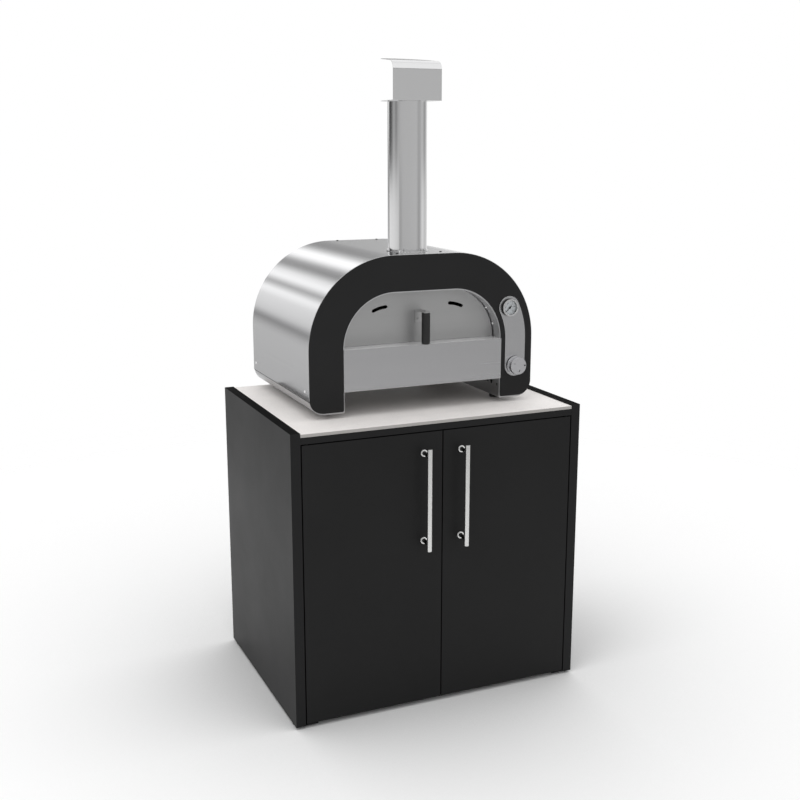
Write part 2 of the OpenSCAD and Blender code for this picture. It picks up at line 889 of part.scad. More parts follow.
// Apron: a folded front sheet whose top is the ledge in front of the door
module apron() {
    ledge_d = chamber_y0 - fit - apron_y0;
    color(steel_colour) translate([-apron_half, apron_y0, oven_z]) {
        translate([apron_half - apron_face_half, 0, under_h - sheet_t])
            cube([2 * apron_face_half, sheet_t, deck_h - under_h + sheet_t]);
        translate([0, 0, deck_h - sheet_t]) cube([2 * apron_half, ledge_d, sheet_t]);
        translate([0, ledge_d - sheet_t, deck_h - stone_t + fit])
            cube([2 * apron_half, sheet_t, stone_t - fit]);
        translate([0, 0, under_h - sheet_t]) cube([2 * apron_half, apron_lip, sheet_t]);
    }
}

module oven_back() {
    color(steel_colour) {
        difference() {
            translate([0, 0, oven_z]) along_y(back_sheet_y, oven_back_y) difference() {
                arch_outline(body_half, body_r, body_top, 0);
                translate([-mouth_half, -over]) square([2 * mouth_half, under_h + over]);
                for (s = [-1, 1])
                    translate([s * (body_half - heel_r), heel_r]) corner_cut(heel_r, s, -1);
            }
            translate([knob_x, 0, oven_z + inlet_h])
                rod_y(inlet_neck_r + fit, back_sheet_y - over, oven_back_y + over);
        }
        shell_flange(oven_back_y - return_d / 2, back_sheet_y);
    }
}

// Route of the thermometer's probe: straight back from its case, then in through the arch
module probe_route(r) {
    elbow_y = face_y + probe_in - probe_bend;
    translate([gauge_x, 0, oven_z + gauge_h]) rotate([0, 180 - gauge_angle, 0]) {
        rod_y(r, plate_face_y, elbow_y);
        translate([0, elbow_y, 0]) elbow(r, probe_bend);
        translate([probe_bend, elbow_y + probe_bend, 0]) rotate([0, 90, 0])
            cylinder(r = r, h = band_r - mouth_r + probe_reach - probe_bend);
    }
}

// Route of the pipe from the valve to the burner
module burner_route(r) {
    elbow_y = burner_y1 - burner_plug / 2;
    translate([knob_x, 0, oven_z]) {
        translate([0, 0, knob_up]) {
            rod_y(r, valve_y0 + valve_d - pipe_bite, elbow_y - pipe_bend);
            translate([0, elbow_y - pipe_bend, 0]) rotate([0, -90, 0]) elbow(r, pipe_bend);
        }
        translate([0, elbow_y, knob_up + pipe_bend]) cylinder(r = r, h = burner_h - knob_up - 2 * pipe_bend);
        translate([0, elbow_y, burner_h - pipe_bend]) rotate([90, 0, 180]) elbow(r, pipe_bend);
        translate([-pipe_bend, elbow_y, burner_h]) rotate([0, -90, 0])
            cylinder(r = r, h = knob_x - burner_x - burner_r + pipe_bite - pipe_bend);
    }
}

// Notches in the blanket, open towards its front edge and its lower edge
module probe_notch() {
    half = probe_r + probe_clear;
    depth = band_r - mouth_r;
    translate([gauge_x, face_y, oven_z + gauge_h]) rotate([0, -gauge_angle, 0])
        translate([-depth, 0, -half]) cube([depth + half, probe_in + half, 2 * half]);
}

module pipe_notch() {
    half = pipe_r + probe_clear;
    translate([mouth_half, burner_y1 - burner_plug / 2 - half, oven_z])
        cube([knob_x + half - mouth_half, 2 * half, burner_h + half]);
}

// Insulation blanket round the chamber's arch
module insulation_arch() {
    low = wall_h + 2 * sheet_t + 2 * fit;
    color(wool_colour) difference() {
        translate([0, 0, oven_z]) along_y(chamber_y0, back_sheet_y - rear_gap) difference() {
            arch_outline(mouth_half + vault_t + fit + blanket_t, mouth_r + vault_t + fit + blanket_t,
                mouth_top + vault_t + fit + blanket_t, low);
            arch_outline(mouth_half + vault_t + fit, mouth_r + vault_t + fit, mouth_top + vault_t + fit,
                low - over);
        }
        probe_notch();
        pipe_notch();
        translate([0, flue_y, oven_z + mouth_top]) cylinder(r = spigot_r + probe_clear, h = oven_h);
    }
}

// Insulation boards: one in the floor tray and one behind the chamber
module insulation_boards() {
    floor_y0 = tray_y0 + sheet_t + fit;
    color(wool_colour) {
        translate([-board_half, floor_y0, oven_z + under_h + sheet_t + fit])
            cube([2 * board_half, back_sheet_y - 2 * fit - sheet_t - floor_y0,
                deck_h - stone_t - under_h - sheet_t - fit]);
        translate([0, 0, oven_z]) along_y(chamber_y1 + sheet_t + 2 * fit, back_sheet_y - rear_gap)
            arch_outline(mouth_half - fit, mouth_r - fit, mouth_top - fit, deck_h - stone_t + fit);
    }
}

// Arched chamber roof with a foot on each leg's inner wall, and a hole for the flue
module vault() {
    color(steel_colour) difference() {
        translate([0, 0, oven_z]) along_y(chamber_y0, back_sheet_y - rear_gap) {
            arch_band(mouth_half + vault_t, mouth_r + vault_t, mouth_top + vault_t, wall_h + fit, vault_t);
            for (s = [-1, 1]) translate([s * (mouth_half + foot_flange / 2), wall_h + fit + sheet_t / 2])
                square([foot_flange, sheet_t], center = true);
        }
        translate([0, flue_y, oven_z + arch_h])
            cylinder(r = spigot_r + fit, h = mouth_top - arch_h + vault_t + over);
        probe_route(probe_r + fit);
        burner_route(pipe_r + fit);
    }
}

module chamber_back() {
    color(steel_colour) translate([0, 0, oven_z]) along_y(chamber_y1 + fit, chamber_y1 + fit + sheet_t)
        arch_outline(mouth_half - fit, mouth_r - fit, mouth_top - fit, deck_h - stone_t + fit);
}

module baking_stones() {
    tile_w = (2 * board_half - (stone_count - 1) * stone_joint) / stone_count;
    tile_d = (chamber_y1 - chamber_y0 - (stone_count + 1) * stone_joint) / stone_count;
    color(tile_colour) for (i = [0:stone_count - 1], j = [0:stone_count - 1])
        translate([-board_half + i * (tile_w + stone_joint),
            chamber_y0 + stone_joint + j * (tile_d + stone_joint), oven_z + deck_h - stone_t + fit])
            cube([tile_w, tile_d, stone_t - 2 * fit]);
}

// Burner tube on two saddles, with a row of ports on the side of the chamber
module burner() {
    step = (burner_l - burner_plug - 2 * port_lead) / (port_count - 1);
    color(steel_colour) difference() {
        union() {
            translate([burner_x, 0, oven_z + burner_h]) rod_y(burner_r, burner_y0, burner_y1);
            for (y = [burner_y0 + saddle_in, burner_y1 - saddle_in - saddle_l])
                translate([burner_x - burner_r / 2, y, oven_z + deck_h])
                    cube([burner_r, saddle_l, burner_up + burner_wall / 2]);
        }
        translate([burner_x, 0, oven_z + burner_h])
            rod_y(burner_r - burner_wall, burner_y0 + burner_wall, burner_y1 - burner_plug);
        for (i = [0:port_count - 1])
            translate([burner_x, burner_y0 + port_lead + i * step, oven_z + burner_h])
                rotate([0, port_angle, 0]) cylinder(r = port_r, h = burner_r + over, $fn = 24);
        translate([burner_x, burner_y1 - burner_plug / 2, oven_z + burner_h])
            translate([burner_r - pipe_bite - fit, 0, 0]) rotate([0, 90, 0])
                cylinder(r = pipe_r + run, h = pipe_bite + fit + over);
    }
}

// Thermocouple and spark electrode on one upright plate in front of the burner
module flame_probes() {
    plate_y1 = burner_y0 - probe_plate_gap;
    color(bright_colour) translate([0, plate_y1, oven_z]) {
        difference() {
            translate([burner_x - 2 * burner_r, 0, deck_h]) {
                translate([0, -probe_plate_t, 0]) cube([probe_plate_w, probe_plate_t, probe_plate_h]);
                translate([0, -probe_foot_l, 0]) cube([probe_plate_w, probe_foot_l, probe_plate_t]);
            }
            probe_rod_places() rod_y(rod_r + fit, -probe_plate_t - over, over);
        }
        probe_rod_places() rod_y(rod_r, -rod_l / 4, 3 * rod_l / 4);
    }
}

module probe_rod_places() {
    out = burner_r + rod_clear + rod_r;
    for (a = rod_angles) translate([burner_x + out * sin(a), 0, burner_h + out * cos(a)]) children();
}

// Pipes: one from the valve to the burner and one from the inlet to the valve
module gas_pipes() {
    supply_y = valve_y0 + valve_d / 2;
    supply_end_y = back_sheet_y - inlet_neck_l + pipe_bite;
    color(brass_colour) {
        burner_route(pipe_r);
        translate([knob_x, 0, oven_z + inlet_h]) {
            rod_y(supply_r, supply_y + pipe_bend, supply_end_y);
            translate([0, supply_y + pipe_bend, 0]) mirror([0, 1, 0]) rotate([0, -90, 0])
                elbow(supply_r, pipe_bend);
            translate([0, supply_y, pipe_bend])
                cylinder(r = supply_r, h = knob_up - inlet_h - valve_w / 2 + pipe_bite - pipe_bend);
        }
    }
}

module gas_valve() {
    supply_y = valve_y0 + valve_d / 2;
    color(brass_colour) difference() {
        union() {
            translate([knob_x - valve_w / 2, valve_y0, oven_z + knob_up - valve_w / 2])
                cube([valve_w, valve_d, valve_w]);
            translate([knob_x, 0, oven_z + knob_up]) rod_y(valve_neck_r, plate_face_y, valve_y0);
        }
        translate([knob_x, 0, oven_z + knob_up]) {
            rod_y(stem_r + run, plate_face_y - over, valve_y0 + valve_bore_l);
            rod_y(pipe_r + run, valve_y0 + valve_d - pipe_bite - fit, valve_y0 + valve_d + over);
        }
        translate([knob_x, supply_y, oven_z + knob_up - valve_w / 2 - over])
            cylinder(r = supply_r + run, h = pipe_bite + fit + over);
    }
}

module gas_inlet() {
    neck_y0 = back_sheet_y - inlet_neck_l;
    thread_y0 = oven_back_y + inlet_nut_t;
    color(brass_colour) translate([knob_x, 0, oven_z + inlet_h]) difference() {
        union() {
            rod_y(inlet_neck_r, neck_y0, oven_back_y);
            rod_y(inlet_nut_r, oven_back_y, thread_y0);
            rod_y(inlet_r, thread_y0, thread_y0 + inlet_l);
        }
        rod_y(supply_r + run, neck_y0 - over, neck_y0 + pipe_bite + fit);
        rod_y(pipe_r, neck_y0, thread_y0 + inlet_l + over);
    }
}

// Outline of a stem with a flat on its upper side
module flatted(r, cut) {
    difference() {
        circle(r = r);
        translate([-r - over, r - cut]) square([2 * (r + over), r]);
    }
}

module valve_stem() {
    front = knob_y1 - knob_bore_l + knob_push + rest_gap;
    color(steel_colour) translate([knob_x, 0, oven_z + knob_up]) {
        rod_y(stem_r, plate_face_y, valve_y0 + valve_bore_l - rest_gap);
        along_y(front, plate_face_y) flatted(stem_r, flat_cut);
    }
}

module gas_knob() {
    color(bright_colour) translate([knob_x, 0, oven_z + knob_up]) difference() {
        union() {
            translate([0, knob_y1, 0]) rotate([90, 0, 0]) cylinder(r = knob_r, h = knob_skirt);
            translate([0, knob_y1 - knob_skirt, 0]) rotate([90, 0, 0])
                cylinder(r = knob_r - knob_chamfer / 2, h = knob_d - knob_skirt - knob_chamfer);
            translate([0, knob_y0 + knob_chamfer, 0]) rotate([90, 0, 0])
                cylinder(r1 = knob_r - knob_chamfer / 2, r2 = knob_r - knob_chamfer, h = knob_chamfer);
        }
        along_y(knob_y1 - knob_bore_l, knob_y1 + over) flatted(stem_r + run, flat_cut);
        for (i = [0:flute_count - 1]) rotate([0, i * 360 / flute_count, 0])
            translate([knob_r - knob_chamfer / 2 + flute_r - flute_bite, 0, 0])
                rod_y(flute_r, knob_y0 - over, knob_y1 - knob_skirt);
    }
}

// Control plate: a band that follows the arch and then runs straight down, round at both ends
module control_plate() {
    reach = 2 * arch_r;
    color(steel_colour) translate([0, 0, oven_z]) difference() {
        along_y(plate_face_y, face_y) {
            translate([flat_half, arch_h]) intersection() {
                difference() {
                    circle(r = band_r + control_r);
                    circle(r = band_r - control_r);
                }
                polygon([[0, 0], [reach, 0], [reach * cos(gauge_angle), reach * sin(gauge_angle)]]);
            }
            translate([gauge_x, gauge_h]) circle(r = control_r);
            translate([knob_x, knob_up]) circle(r = control_r);
            translate([knob_x - control_r, knob_up]) square([2 * control_r, arch_h - knob_up]);
        }
        translate([gauge_x, 0, gauge_h]) rod_y(gauge_neck_r + fit, plate_face_y - over, face_y + over);
        translate([knob_x, 0, knob_up]) rod_y(valve_neck_r + fit, plate_face_y - over, face_y + over);
    }
}

// Thermometer case: a cup with a front lip, a neck through the fascia and a bent probe
module thermometer_case() {
    bore_r = gauge_r - gauge_wall;
    pin_y = plate_face_y - gauge_back;
    color(bright_colour) {
        translate([gauge_x, 0, oven_z + gauge_h]) difference() {
            union() {
                rod_y(gauge_r, gauge_y0, plate_face_y);
                rod_y(gauge_neck_r, plate_face_y, face_y + fascia_t + gauge_neck_r);
            }
            rod_y(bore_r, gauge_y0 + lens_in, pin_y);
            rod_y(bore_r - gauge_lip, gauge_y0 - over, gauge_y0 + lens_in + over);
            rod_y(needle_pin_r + run, pin_y - over, pin_y + gauge_back / 2);
        }
        probe_route(probe_r);
    }
}

module thermometer_dial() {
    color(stone_colour) translate([gauge_x, 0, oven_z + gauge_h]) difference() {
        rod_y(gauge_r - gauge_wall - fit, plate_face_y - gauge_back - dial_t, plate_face_y - gauge_back);
        rod_y(needle_pin_r + run, plate_face_y - gauge_back - dial_t - over, plate_face_y);
    }
}

module thermometer_needle() {
    dial_y = plate_face_y - gauge_back - dial_t;
    color(black_colour) translate([gauge_x, 0, oven_z + gauge_h]) {
        rod_y(needle_pin_r, dial_y - needle_clear, plate_face_y - gauge_back + gauge_back / 4);
        along_y(dial_y - needle_clear - needle_t, dial_y - needle_clear) {
            circle(r = needle_hub_r);
            rotate(needle_rest) polygon([
                [-needle_tail, -needle_w / 2], [-needle_tail, needle_w / 2],
                [needle_l, needle_tip_w / 2], [needle_l, -needle_tip_w / 2]
            ]);
        }
    }
}

module thermometer_lens() {
    color([0.9, 0.95, 1, 0.4]) translate([gauge_x, 0, oven_z + gauge_h])
        rod_y(gauge_r - gauge_wall - fit, gauge_y0 + lens_in, gauge_y0 + lens_in + lens_t);
}

// Flue: a spigot through the vault and the shell with a flange, the pipe over it and the cap in the pipe
module flue_collar() {
    z0 = oven_z + mouth_top;
    color(bright_colour) translate([0, flue_y, 0]) difference() {
        union() {
            translate([0, 0, z0]) cylinder(r = spigot_r, h = pipe_z0 + spigot_up - z0);
            translate([0, 0, shell_top_z]) cylinder(r = flange_r, h = flange_t);
        }
        translate([0, 0, z0 - over])
            cylinder(r = spigot_r - spigot_t, h = pipe_z0 + spigot_up - z0 + 2 * over);
        flange_screw_places() translate([0, 0, -small_bite])
            cylinder(r = flange_shank_r + run, h = 2 * small_bite);
    }
}

module flange_screw_places() {
    for (i = [0:flange_screw_count - 1]) rotate((i + 1 / 2) * 360 / flange_screw_count)
        translate([flange_screw_r, 0, shell_top_z + flange_t]) children();
}

module flue_pipe() {
    color(bright_colour) translate([0, flue_y, pipe_z0]) difference() {
        cylinder(r = flue_r, h = flue_l);
        translate([0, 0, -over]) cylinder(r = flue_r - flue_wall, h = flue_l + 2 * over);
    }
}

// Side outline of the cap: depth across and height up, from the foot of its front plate.
// Its lid is a thinner sheet whose edge is let into the end of the bend.
module cap_outline() {
    side = cap_bend_r + over;
    square([cap_d, cap_t]);
    square([cap_t, cap_h]);
    translate([cap_bend_r, cap_h]) {
        difference() {
            circle(r = cap_bend_r);
            circle(r = cap_bend_r - cap_t);
            translate([-side, -side]) square([2 * side, side]);
            rotate(cap_slope) translate([0, -side]) square([2 * side, 2 * side]);
        }
        rotate(cap_slope) translate([-lid_lap, cap_bend_r - (cap_t + lid_t) / 2])
            square([cap_d + lid_lap, lid_t]);
    }
}

module flue_cap() {
    tall = 2 * cap_h + 2 * cap_bend_r;
    ring_r = spigot_r - spigot_t;
    color(bright_colour) {
        difference() {
            intersection() {
                translate([-cap_w / 2, cap_y0, cap_z]) rotate([90, 0, 90])
                    linear_extrude(height = cap_w) cap_outline();
                translate([0, cap_y0, cap_z - over]) linear_extrude(height = tall) {
                    translate([-cap_w / 2, -over]) square([cap_w, cap_d - cap_w / 2 + over]);
                    translate([0, cap_d - cap_w / 2]) circle(r = cap_w / 2);
                }
            }
            translate([0, flue_y, cap_z - over]) cylinder(r = ring_r, h = cap_t + 2 * over);
        }
        translate([0, flue_y, cap_z - cap_spigot_l]) difference() {
            cylinder(r = spigot_r, h = cap_spigot_l + cap_t);
            translate([0, 0, -over]) cylinder(r = ring_r, h = cap_spigot_l + cap_t + 2 * over);
        }
    }
}

module oven_screws() {
    color(bright_colour) {
        at_both_sides() translate([0, 0, oven_z]) {
            side_screw_places() screw(small_screw_r, small_head_r, small_head_h, small_bite);
            liner_screw_places() screw(small_screw_r, small_head_r, small_head_h, small_bite);
        }
        top_screw_places() screw(small_screw_r, small_head_r, small_head_h, small_bite);
        translate([0, flue_y, 0]) flange_screw_places()
            screw(flange_shank_r, flange_head_r, small_head_h, flange_t);
    }
}

// Oven door: an arched plate with two curved vents and holes for the handle's screws

module oven_door() {
    color(steel_colour) translate([0, 0, oven_z]) difference() {
        along_y(plate_y, plate_y + plate_t) difference() {
            arch_outline(plate_half, plate_r, plate_top, deck_h + rest_gap);
            for (s = [-1, 1]) scale([s, 1]) vent_slot();
        }
        bracket_screw_places() rod_y(small_screw_r + run, -over, plate_t + over);
    }
}

// A slot with round ends that follows the door's corner
module vent_slot() {
    reach = 2 * vent_r;
    translate([flat_half, arch_h]) {
        intersection() {
            difference() {
                circle(r = vent_r + vent_half);
                circle(r = vent_r - vent_half);
            }
            polygon([[0, 0], for (a = vent_angles) [reach * cos(a), reach * sin(a)]]);
        }
        for (a = vent_angles) translate([vent_r * cos(a), vent_r * sin(a)]) circle(r = vent_half);
    }
}

module bracket_screw_places() {
    for (d = strap_screw_drops)
        translate([0, plate_y, grip_z1 - oven_z + strap_t - d]) children();
}

// Bracket: a flange on the door and a strap that runs forward over the grip, with its three screws
module door_bracket() {
    strap_y0 = grip_y - strap_over;
    color(bright_colour) {
        difference() {
            union() {
                translate([-strap_w / 2, plate_y - strap_t, grip_z1 + strap_t - strap_flange_h])
                    cube([strap_w, strap_t, strap_flange_h]);
                translate([-strap_w / 2, strap_y0, grip_z1]) cube([strap_w, plate_y - strap_y0, strap_t]);
            }
            translate([0, 0, oven_z]) bracket_screw_places()
                rod_y(small_screw_r + run, -strap_t - over, over);
            translate([0, grip_y, grip_z1 - over]) cylinder(r = screw_r + run, h = strap_t + 2 * over);
        }
        translate([0, 0, oven_z]) bracket_screw_places() translate([0, -strap_t - fit, 0]) rotate([90, 0, 0])
            screw(small_screw_r, small_head_r, small_head_h, strap_t + plate_t - fit);
        translate([0, grip_y, grip_z1 + strap_t + fit])
            screw(screw_r, screw_head_r, small_head_h, strap_t + screw_bite);
    }
}

module door_grip() {
    color(black_colour) translate([0, grip_y, grip_z1 - grip_l]) difference() {
        union() {
            cylinder(r1 = grip_r - grip_chamfer, r2 = grip_r, h = grip_chamfer);
            translate([0, 0, grip_chamfer]) cylinder(r = grip_r, h = grip_l - grip_chamfer - fit);
        }
        translate([0, 0, grip_l - screw_bite - fit]) cylinder(r = screw_r + run, h = screw_bite + fit + over);
    }
}

side_panel_left();
side_panel_right();
bottom_panel();
back_panel();
hose_grommet();
front_rail();
rear_rail();
corner_brackets();
worktop();
shelf();
shelf_pins();
glides();
pivot_plates();
top_pivot_pins();
magnet_catches();
door_left();
bushes_left();
bar_left();
posts_left();
handle_screws_left();
strike_left();
door_right();
bushes_right();
bar_right();
posts_right();
handle_screws_right();
strike_right();
oven_feet();
leg_left();
leg_right();
floor_tray();
shell();
fascia();
mouth_liner();
apron();
oven_back();
insulation_arch();
insulation_boards();
vault();
chamber_back();
baking_stones();
burner();
flame_probes();
gas_pipes();
gas_valve();
gas_inlet();
valve_stem();
gas_knob();
control_plate();
thermometer_case();
thermometer_dial();
thermometer_needle();
thermometer_lens();
flue_collar();
flue_pipe();
flue_cap();
oven_screws();
oven_door();
door_bracket();
door_grip();
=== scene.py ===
"""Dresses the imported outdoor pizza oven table: finishes, fine hardware, studio light and camera."""

import json
import logging
import math
from dataclasses import dataclass, field
from enum import Enum
from typing import Callable, Sequence

import bpy
from mathutils import Matrix, Vector


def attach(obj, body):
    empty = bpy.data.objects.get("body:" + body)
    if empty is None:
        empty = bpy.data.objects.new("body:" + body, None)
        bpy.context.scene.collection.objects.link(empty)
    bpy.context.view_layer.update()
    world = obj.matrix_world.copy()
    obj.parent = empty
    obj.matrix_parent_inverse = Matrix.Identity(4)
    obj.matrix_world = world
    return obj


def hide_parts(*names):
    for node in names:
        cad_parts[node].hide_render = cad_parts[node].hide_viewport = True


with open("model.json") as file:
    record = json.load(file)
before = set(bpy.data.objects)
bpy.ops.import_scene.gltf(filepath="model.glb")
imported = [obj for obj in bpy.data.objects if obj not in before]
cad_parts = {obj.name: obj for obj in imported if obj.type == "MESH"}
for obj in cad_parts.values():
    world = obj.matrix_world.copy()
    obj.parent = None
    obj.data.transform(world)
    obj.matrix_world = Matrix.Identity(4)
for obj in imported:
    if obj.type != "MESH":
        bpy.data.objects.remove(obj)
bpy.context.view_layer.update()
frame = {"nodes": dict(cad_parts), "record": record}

LOG = logging.getLogger("pizza_oven_table")
MM = 0.001
Colour = tuple[float, float, float]
Shade = tuple[float, float, float, float]
Profile = Sequence[tuple[float, float]]
Tree, Node, Socket, Piece = bpy.types.NodeTree, bpy.types.Node, bpy.types.NodeSocket, bpy.types.Object

# Directions, and places on the object in millimetres
HERE, UP, OUT, BACK = Vector(), Vector((0, 0, 1)), Vector((0, -1, 0)), Vector((0, 1, 0))
TO_FRONT = Matrix.Rotation(math.radians(90), 4, "X")
FRONT_Y = -332.625
BACK_PANEL_Y = 331.375
BAR_X = 61.75
BAR_Y = -373.625
BAR_ENDS = (515.5, 830.5)
POST_ZS = (537.0, 809.0)
FACE_Y = -201.625
OVEN_BACK_Y = 358.375
OVEN_Z = 920.0
SHELL_TOP_Z = 1382.0
FLAT_HALF = 98.5
ARCH_H = 189.0
MOUTH_R = 161.5
GAUGE = (288.017, 1205.564)
KNOB = (311.2, 1023.0)
KNOB_FACE_Y = -230.025
INLET_Z = 958.0
FLUE_Y = -70.625
FLUE_Z = (1383.5, 1824.5)
GRIP_Y = -208.625


# Node tools -------------------------------------------------------------------------------------

def linear(colour: Colour) -> Shade:
    """Returns a colour as seen on a screen in linear light, as sockets take it, with an alpha of 1."""
    parts = [c / 12.92 if c <= 0.04045 else ((c + 0.055) / 1.055) ** 2.4 for c in colour]
    return (parts[0], parts[1], parts[2], 1.0)


def grey(level: float) -> Shade:
    """Returns a linear grey of the given level, with an alpha of 1."""
    return (level, level, level, 1.0)


def toned(shade: Shade, share: float, lift: float = 0.0) -> Shade:
    """Returns a linear colour times a share, with a little light added, and an alpha of 1."""
    return tuple(min(1.0, c * share + lift) for c in shade[:3]) + (1.0,)


@dataclass(frozen=True)
class Wires:
    """Short ways to add nodes to one tree; a material's wires also know its shader and coordinates."""

    tree: Tree
    shader: Node | None = None
    place: Socket | None = None

    def join(self, value: object, entry: Socket) -> None:
        """Links a socket to an input, or sets the input to a plain value.

        Args:
            value: the socket or the value.
            entry: the input.
        """
        if isinstance(value, Socket):
            self.tree.links.new(value, entry)
        else:
            entry.default_value = value

    def put(self, kind: str, inputs: dict | None = None, **settings: object) -> Node:
        """Adds one shader node.

        Args:
            kind: the node's type without its common prefix, such as "TexNoise".
            inputs: plain values, or sockets to link from, by input name or number.
            settings: attributes of the node.

        Returns:
            The new node.
        """
        node = self.tree.nodes.new("ShaderNode" + kind)
        for name, value in settings.items():
            setattr(node, name, value)
        for name, value in (inputs or {}).items():
            self.join(value, node.inputs[name])
        return node

    def shade(self, **values: object) -> None:
        """Sets or links inputs of the material's shader, named with _ for a space."""
        for name, value in values.items():
            self.join(value, self.shader.inputs[name.replace("_", " ")])

    def sums(self, operation: str, a: object, b: object = 0.0, clamp: bool = False) -> Socket:
        """Adds a Math node over two values or sockets, with the result kept from 0 to 1 where asked."""
        return self.put("Math", {0: a, 1: b}, operation=operation, use_clamp=clamp).outputs[0]

    def times(self, a: object, b: object, clamp: bool = False) -> Socket:
        """Multiplies two values or sockets."""
        return self.sums("MULTIPLY", a, b, clamp)

    def mixed(self, share: object, a: object, b: object) -> Socket:
        """Mixes two colours or sockets by the share of the second one."""
        return self.put("Mix", {0: share, 6: a, 7: b}, data_type="RGBA").outputs[2]

    def noise(self, vector: Socket, scale: object, detail: object, roughness: float = 0.5) -> Socket:
        """Adds a noise of the given scale, detail and roughness, from about 0 to 1."""
        return self.put("TexNoise", {"Vector": vector, "Scale": scale, "Detail": detail,
                                     "Roughness": roughness}).outputs[0]

    def spread(self, value: Socket, low: float, high: float, to_low: float = 0.0, to_high: float = 1.0,
               smooth: bool = False) -> Socket:
        """Maps a value from the range low to high to another one, eased in and out where asked."""
        return self.put("MapRange", {0: value, 1: low, 2: high, 3: to_low, 4: to_high}, clamp=True,
                        interpolation_type="SMOOTHSTEP" if smooth else "LINEAR").outputs[0]

    def ramp(self, value: Socket, stops: Profile) -> Socket:
        """Adds a ramp of grey levels.

        Args:
            value: the value that runs along the ramp.
            stops: places along the ramp and their levels, from 0 to 1.

        Returns:
            The level's socket.
        """
        node = self.put("ValToRGB", {0: value})
        elements = node.color_ramp.elements
        for element, (place, level) in ((elements[0], stops[0]), (elements[1], stops[-1])):
            element.position = place
            element.color = grey(level)
        for place, level in stops[1:-1]:
            elements.new(place).color = grey(level)
        return node.outputs[0]

    def normal_z(self) -> Socket:
        """Returns how far the surface looks up, from -1 to 1."""
        return self.put("SeparateXYZ", {0: self.put("NewGeometry").outputs["Normal"]}).outputs[2]

    def use(self, group: str, **inputs: object) -> dict[str, Socket]:
        """Places one of the shared groups, fed with the object coordinates.

        Args:
            group: the group's name in GROUPS.
            inputs: other inputs by name.

        Returns:
            The group's output sockets by name.
        """
        node = self.put("Group", node_tree=bpy.data.node_groups.get(group) or GROUPS[group]())
        if "Vector" in node.inputs:
            inputs["Vector"] = self.place
        for name, value in inputs.items():
            self.join(value, node.inputs[name])
        return {socket.name: socket for socket in node.outputs}

    def patches(self, scale: float, detail: float = 4.0) -> Socket:
        """Returns soft uneven patches of the given scale and detail, from 0 to 1."""
        return self.use("mottle", Scale=scale, Detail=detail)["Value"]

    def edges(self, reach: float = 0.0012) -> Socket:
        """Returns the mask of outer edges that reach so far in, in metres; finishes use it for wear and for
        painted edge light.
        """
        return self.use("rubbed_edges", Reach=reach)["Mask"]

    def emboss(self, height: Socket, depth: float, strength: float) -> None:
        """Presses a pattern from 0 to 1 into the surface, so deep in millimetres and so strongly."""
        bump = self.put("Bump", {"Height": height, "Distance": depth * MM, "Strength": strength})
        self.shade(Normal=bump.outputs[0])


def new_group(name: str, *outputs: str, **inputs: object) -> tuple[Wires, dict[str, Socket], Node]:
    """Starts a shader group that takes object coordinates.

    Args:
        name: the group's name.
        outputs: names of the outputs, all plain values.
        inputs: default values by input name; a tuple is a vector.

    Returns:
        The group's wires, its input sockets by name, and its output node.
    """
    tree = bpy.data.node_groups.new(name, "ShaderNodeTree")
    for label, value in inputs.items():
        kind = "NodeSocketVector" if isinstance(value, tuple) else "NodeSocketFloat"
        tree.interface.new_socket(name=label, in_out="INPUT", socket_type=kind).default_value = value
    for label in outputs:
        tree.interface.new_socket(name=label, in_out="OUTPUT", socket_type="NodeSocketFloat")
    entry = tree.nodes.new("NodeGroupInput")
    given = {socket.name: socket for socket in entry.outputs if socket.name}
    return Wires(tree), given, tree.nodes.new("NodeGroupOutput")


def brushed_grain() -> Tree:
    """Builds the group for brushed metal: fine and broad streaks, stretched by a scale per axis.

    Returns:
        The group's tree, with outputs Fine and Broad from 0 to 1.
    """
    kit, given, leave = new_group("brushed_grain", "Fine", "Broad", Vector=(0.0, 0.0, 0.0),
                                  Stretch=(900.0, 8.0, 900.0))
    for label, share, detail in (("Fine", 1.0, 2.0), ("Broad", 0.09, 3.0)):
        scaled = kit.put("VectorMath", {0: given["Stretch"], 1: (share, share, share)}, operation="MULTIPLY")
        spot = kit.put("VectorMath", {0: given["Vector"], 1: scaled.outputs[0]}, operation="MULTIPLY")
        kit.join(kit.spread(kit.noise(spot.outputs[0], 1.0, detail), 0.3, 0.7), leave.inputs[label])
    return kit.tree


def mottle() -> Tree:
    """Builds the group for soft uneven patches, such as handling, firing or casting leaves.

    Returns:
        The group's tree, with the output Value from 0 to 1.
    """
    kit, given, leave = new_group("mottle", "Value", Vector=(0.0, 0.0, 0.0), Scale=6.0, Detail=4.0)
    cloud = kit.noise(given["Vector"], given["Scale"], given["Detail"], 0.62)
    kit.join(kit.spread(cloud, 0.28, 0.72), leave.inputs["Value"])
    return kit.tree


def speckle() -> Tree:
    """Builds the group for grains and flecks of mixed size and strength.

    Returns:
        The group's tree, with outputs Mask from 0 to 1 and Shade, a value of its own for each fleck.
    """
    kit, given, leave = new_group("speckle", "Mask", "Shade", Vector=(0.0, 0.0, 0.0), Scale=300.0, Size=0.3)
    cells = kit.put("TexVoronoi", {"Vector": given["Vector"], "Scale": given["Scale"]})
    level = kit.put("SeparateColor", {0: cells.outputs["Color"]})
    inside = kit.sums("SUBTRACT", kit.times(given["Size"], level.outputs[0]), cells.outputs["Distance"])
    kit.join(kit.spread(inside, 0.0, 0.08), leave.inputs["Mask"])
    kit.join(level.outputs[1], leave.inputs["Shade"])
    return kit.tree


